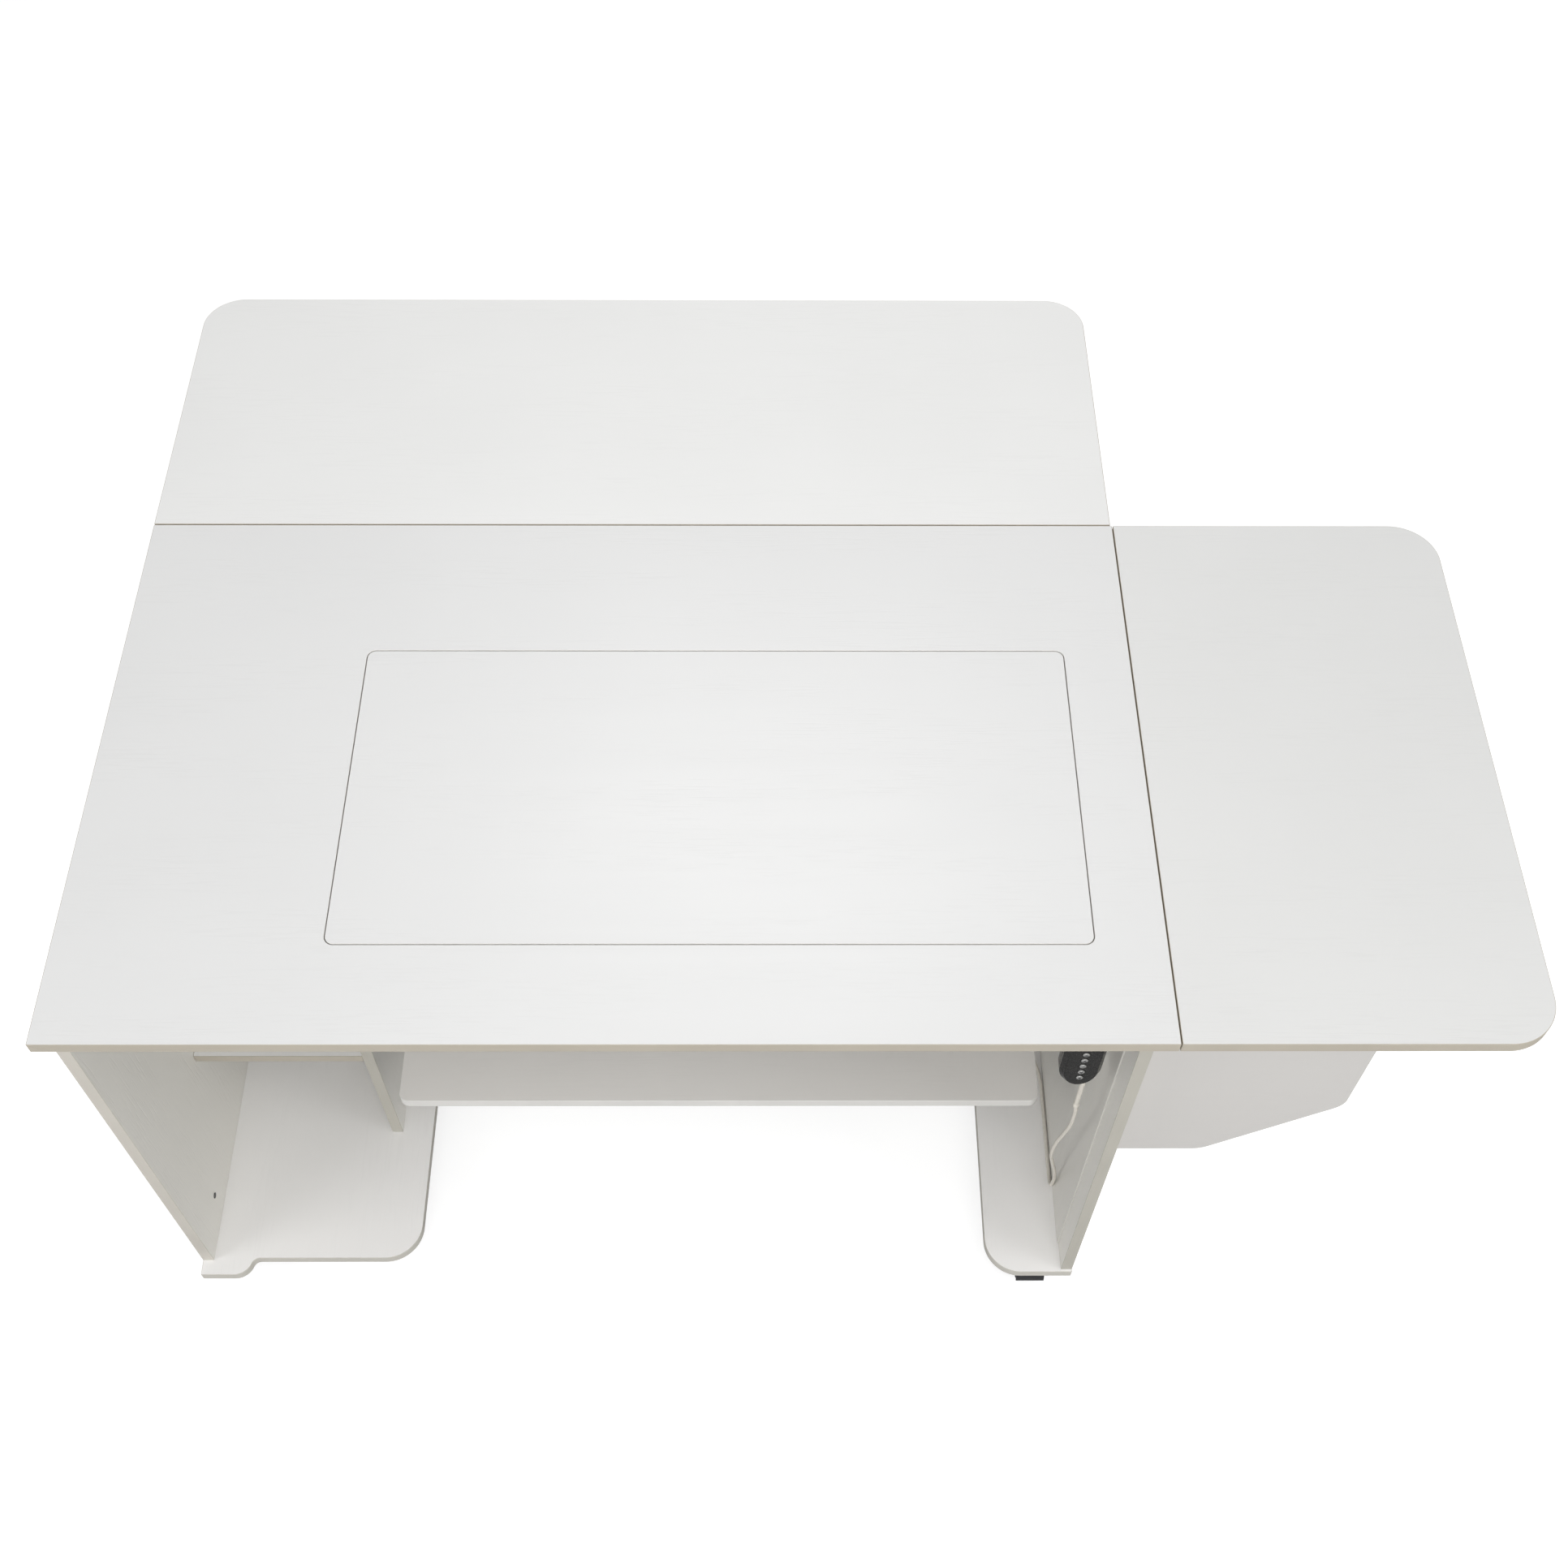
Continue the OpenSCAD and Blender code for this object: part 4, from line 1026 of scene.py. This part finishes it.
def control_box():
    """Electronics housing: a screwed lid with vent slots, and a mains inlet at the back."""
    low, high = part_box("control_box")
    bm = bmesh.new()
    wall = 2.5 * MM
    outline = rounded_rectangle(low.x, low.y, high.x, high.y, (4 * MM,) * 4)
    hollow = inset(outline, wall)
    floor = low.z + wall
    rings = []
    for points, z in ((inset(outline, 0.6 * MM), low.z), (outline, low.z + 0.6 * MM), (outline, high.z),
                      (hollow, high.z), (hollow, floor)):
        rings.append([bm.verts.new((p.x, p.y, z)) for p in points])
    count = len(outline)
    for a, b in zip(rings, rings[1:]):
        for i in range(count):
            bm.faces.new((a[i], a[(i + 1) % count], b[(i + 1) % count], b[i]))
    bm.faces.new(rings[0])
    bm.faces.new(rings[-1])
    piece("control_case", bm, [BOX_PLASTIC], "cabinet", ["control_box"])
    lid_low, lid_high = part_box("control_box_lid")
    bm = bmesh.new()
    box_into(bm, lid_low, lid_high, 1.2 * MM, corner=4 * MM)
    for i in range(7):
        x = lid_low.x + (15 + i * 7.5) * MM
        box_into(bm, Vector((x - 1.2 * MM, lid_low.y + 34 * MM, lid_high.z - 1 * MM)),
                 Vector((x + 1.2 * MM, lid_low.y + 74 * MM, lid_high.z - 0.02 * MM)), 0.01 * MM, 1, 0.6 * MM)
    for x in (lid_low.x + 7 * MM, lid_high.x - 7 * MM):
        for y in (lid_low.y + 7 * MM, lid_high.y - 7 * MM):
            screw_head_into(bm, Vector((x, y, lid_high.z - 0.9 * MM)), "Z", 2.4 * MM, 0.85 * MM, 2)
    piece("control_lid", bm, [BOX_PLASTIC, DARK_PLASTIC, FASTENER], "cabinet",
          ["control_box_lid"])
    inlet_low = Vector((low.x + 25 * MM, high.y - 3.4 * MM, low.z + 13.5 * MM))
    inlet_high = Vector((high.x - 25 * MM, high.y - 0.4 * MM, low.z + 30.5 * MM))
    bm = bmesh.new()
    box_into(bm, inlet_low, inlet_high, 0.5 * MM, 0)
    for sx in (-1, 0, 1):
        x = (inlet_low.x + inlet_high.x) / 2 + sx * 6 * MM
        box_into(bm, Vector((x - 0.9 * MM, high.y - 0.6 * MM, low.z + 19 * MM)),
                 Vector((x + 0.9 * MM, high.y - 0.1 * MM, low.z + 26 * MM)), 0.05 * MM, 1, 0.2 * MM)
    piece("mains_inlet", bm, [DARK_PLASTIC, FASTENER], "cabinet")


lift_screw()
lift_motor()
lift_gearbox()
control_box()


# ---- Metal parts that keep their CAD shape ----

def finish_node(node, material, edge=0.35 * MM, angle=50):
    """Gives a CAD node its finish and eases its sharp edges."""
    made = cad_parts[node]
    if not made.data.materials:
        made.data.materials.append(material)
    for slot in made.material_slots:
        slot.material = material
    if edge:
        bevel = made.modifiers.new("eased edges", "BEVEL")
        bevel.width = edge
        bevel.segments = 2
        bevel.limit_method = "ANGLE"
        bevel.angle_limit = math.radians(angle)
        bevel.use_clamp_overlap = True
        made.modifiers.new("even shading", "WEIGHTED_NORMAL")


NODE_FINISHES = {
    "cam_locks": (DARK_PLASTIC, 0.15 * MM),
    "insert_tabs": (ZINC, 0.35 * MM),
    "carriage_arms": (GREY_PAINT, 0.4 * MM),
    "slider_blocks": (DARK_PLASTIC, 0.5 * MM),
    "cross_bar": (GREY_PAINT, 0.5 * MM),
    "lift_nut": (ZINC, 0.6 * MM),
    "lift_rails": (ZINC_UPRIGHT, 0.4 * MM),
    "screw_bearing": (GREY_PAINT, 0.8 * MM),
    "handset_holder": (DARK_PLASTIC, 0.6 * MM),
    "bracket_pad": (PAD_RUBBER, 0.6 * MM),
    "hinge_fixed_leaves": (ZINC, 0.15 * MM),
    "hinge_pins": (FASTENER, 0),
    "rear_leaf_hinge_leaves": (ZINC, 0.15 * MM),
    "right_leaf_hinge_leaves": (ZINC, 0.15 * MM),
    "bracket_hinge_leaf": (ZINC_UPRIGHT, 0.1 * MM),
    "stay_plates": (ZINC_UPRIGHT, 0.3 * MM),
    "stay_arms": (ZINC, 0.3 * MM),
    "stay_struts": (ZINC_UPRIGHT, 0.4 * MM),
    "caster_plates": (ZINC, 0.3 * MM),
    "caster_1_hood": (DARK_PLASTIC, 0.8 * MM),
    "caster_2_hood": (DARK_PLASTIC, 0.8 * MM),
    "caster_3_hood": (DARK_PLASTIC, 0.8 * MM),
    "caster_4_hood": (DARK_PLASTIC, 0.8 * MM),
}
for node, (finish, edge) in NODE_FINISHES.items():
    finish_node(node, finish, edge)


# ---- Fasteners ----

REAR_HINGES = (60, 570, 1078)
RIGHT_HINGES = (95, 430, 610)
HINGE_HOLES = (10, 30, 50)


def hinge_screw_into(bm, x, y):
    """A screw that holds a hinge leaf up under the tops."""
    under_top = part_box("main_top")[0].z
    place = at(x, y, 0) + Vector((0, 0, under_top - 1.6 * MM))
    screw_head_into(bm, place, "Z", 2.6 * MM, -1 * MM)


def fasteners():
    """Pan-head screws that hold the hinges, the rails and the stays."""
    cabinet = bmesh.new()
    for x in REAR_HINGES:
        for dx in HINGE_HOLES:
            hinge_screw_into(cabinet, x + dx, 706)
    for y in RIGHT_HINGES:
        for dy in HINGE_HOLES:
            hinge_screw_into(cabinet, 1186, y + dy)
    for s in (-1, 1):
        for z in (262, 480, 720):
            screw_head_into(cabinet, at(706.75 + s * 277, 537.5, z), "Y", 3 * MM, -1 * MM)
    for x in (200, 1000):
        for z in (582, 600, 710):
            screw_head_into(cabinet, at(x, 697.5, z), "Y", 3 * MM, 1.1 * MM)
    piece("cabinet_fasteners", cabinet, [FASTENER], "cabinet", weighted=False)

    rear = bmesh.new()
    for x in REAR_HINGES:
        for dx in HINGE_HOLES:
            hinge_screw_into(rear, x + dx, 736)
    piece("rear_leaf_fasteners", rear, [FASTENER], "rear_leaf_body", weighted=False)

    right = bmesh.new()
    for y in RIGHT_HINGES:
        for dy in HINGE_HOLES:
            hinge_screw_into(right, 1216, y + dy)
    piece("right_leaf_fasteners", right, [FASTENER], "right_leaf_body", weighted=False)


def cable_clips():
    """Saddles that hold the motor's lead to the back panel."""
    bm = bmesh.new()
    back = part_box("back_panel")[0].y
    for x, z in ((948, 176), (990, 169)):
        centre = at(x, 0, z)
        box_into(bm, Vector((centre.x - 4 * MM, back - 9.5 * MM, centre.z - 4.5 * MM)),
                 Vector((centre.x + 4 * MM, back - 0.05 * MM, centre.z + 4.5 * MM)), 0.8 * MM)
        box_into(bm, Vector((centre.x - 4 * MM, back - 3 * MM, centre.z + 4 * MM)),
                 Vector((centre.x + 4 * MM, back - 0.05 * MM, centre.z + 14 * MM)), 0.6 * MM)
        screw_head_into(bm, Vector((centre.x, back - 2.9 * MM, centre.z + 9 * MM)), "Y", 2.2 * MM, -1 * MM, 1)
    piece("cable_saddles", bm, [DARK_PLASTIC, FASTENER], "cabinet", weighted=False)


fasteners()
cable_clips()


# ---- Floor, light and background ----

def floor():
    bm = bmesh.new()
    half = 14
    corners = [(-half, -half), (half, -half), (half, half), (-half, half)]
    bm.faces.new([bm.verts.new((x, y, 0)) for x, y in corners])
    made, tree, shader, place, _ = start_material("pale floor", Roughness=0.9, Specular_IOR_Level=0.1)
    tone = put(tree, TONE, {"Vector": place, "Patches per metre": 0.7})["Tone"]
    tree.links.new(mix(tree, tone, (0.5, 0.5, 0.5, 1), (0.49, 0.49, 0.49, 1)), shader.inputs["Base Color"])
    shader.inputs["Emission Color"].default_value = (1, 1, 1, 1)
    seen = tree.nodes.new("ShaderNodeLightPath").outputs["Is Camera Ray"]
    tree.links.new(maths(tree, "MULTIPLY", seen, 0.68), shader.inputs["Emission Strength"])
    finish_mesh("floor", bm, [made], weighted=False)


def softbox(name, place, target, width, height, power):
    data = bpy.data.lights.new(name, "AREA")
    data.shape = "RECTANGLE"
    data.size = width
    data.size_y = height
    data.energy = power
    lamp = bpy.data.objects.new(name, data)
    lamp.location = place
    lamp.rotation_euler = (Vector(target) - Vector(place)).to_track_quat("-Z", "Y").to_euler()
    bpy.context.scene.collection.objects.link(lamp)


def background(strength, seen_strength):
    """White surroundings that light the scene softly and look brighter than they light."""
    world = bpy.data.worlds.new("studio")
    world.use_nodes = True
    tree = world.node_tree
    shade = tree.nodes["Background"]
    shade.inputs["Color"].default_value = (1, 1, 1, 1)
    seen = tree.nodes.new("ShaderNodeLightPath").outputs["Is Camera Ray"]
    tree.links.new(ramp(tree, seen, 0.0, 1.0, strength, seen_strength), shade.inputs["Strength"])
    bpy.context.scene.world = world


floor()
background(0.32, seen_strength=0.96)
softbox("front softbox", (0.3, -3.0, 3.4), (0, -0.1, 0.5), 2.6, 2.0, 34)
softbox("rear softbox", (-0.13, 1.15, 3.15), (-0.1, -0.1, 0.76), 1.2, 0.9, 18)
softbox("overhead softbox", (0.1, -1.3, 3.9), (0, -0.3, 0.3), 2.6, 1.6, 28)
softbox("left fill", (-3.0, -1.8, 1.9), (0, -0.2, 0.4), 1.6, 1.6, 28)
softbox("right fill", (3.0, -1.8, 1.9), (0, -0.2, 0.4), 1.6, 1.6, 31)
softbox("low fill", (0.0, -3.6, 1.3), (0, 0, 0.5), 3.0, 1.4, 40)
softbox("back fill", (0.2, 3.4, 1.5), (0, 0.2, 0.4), 2.6, 1.2, 24)
bpy.context.scene.view_settings.view_transform = "Standard"
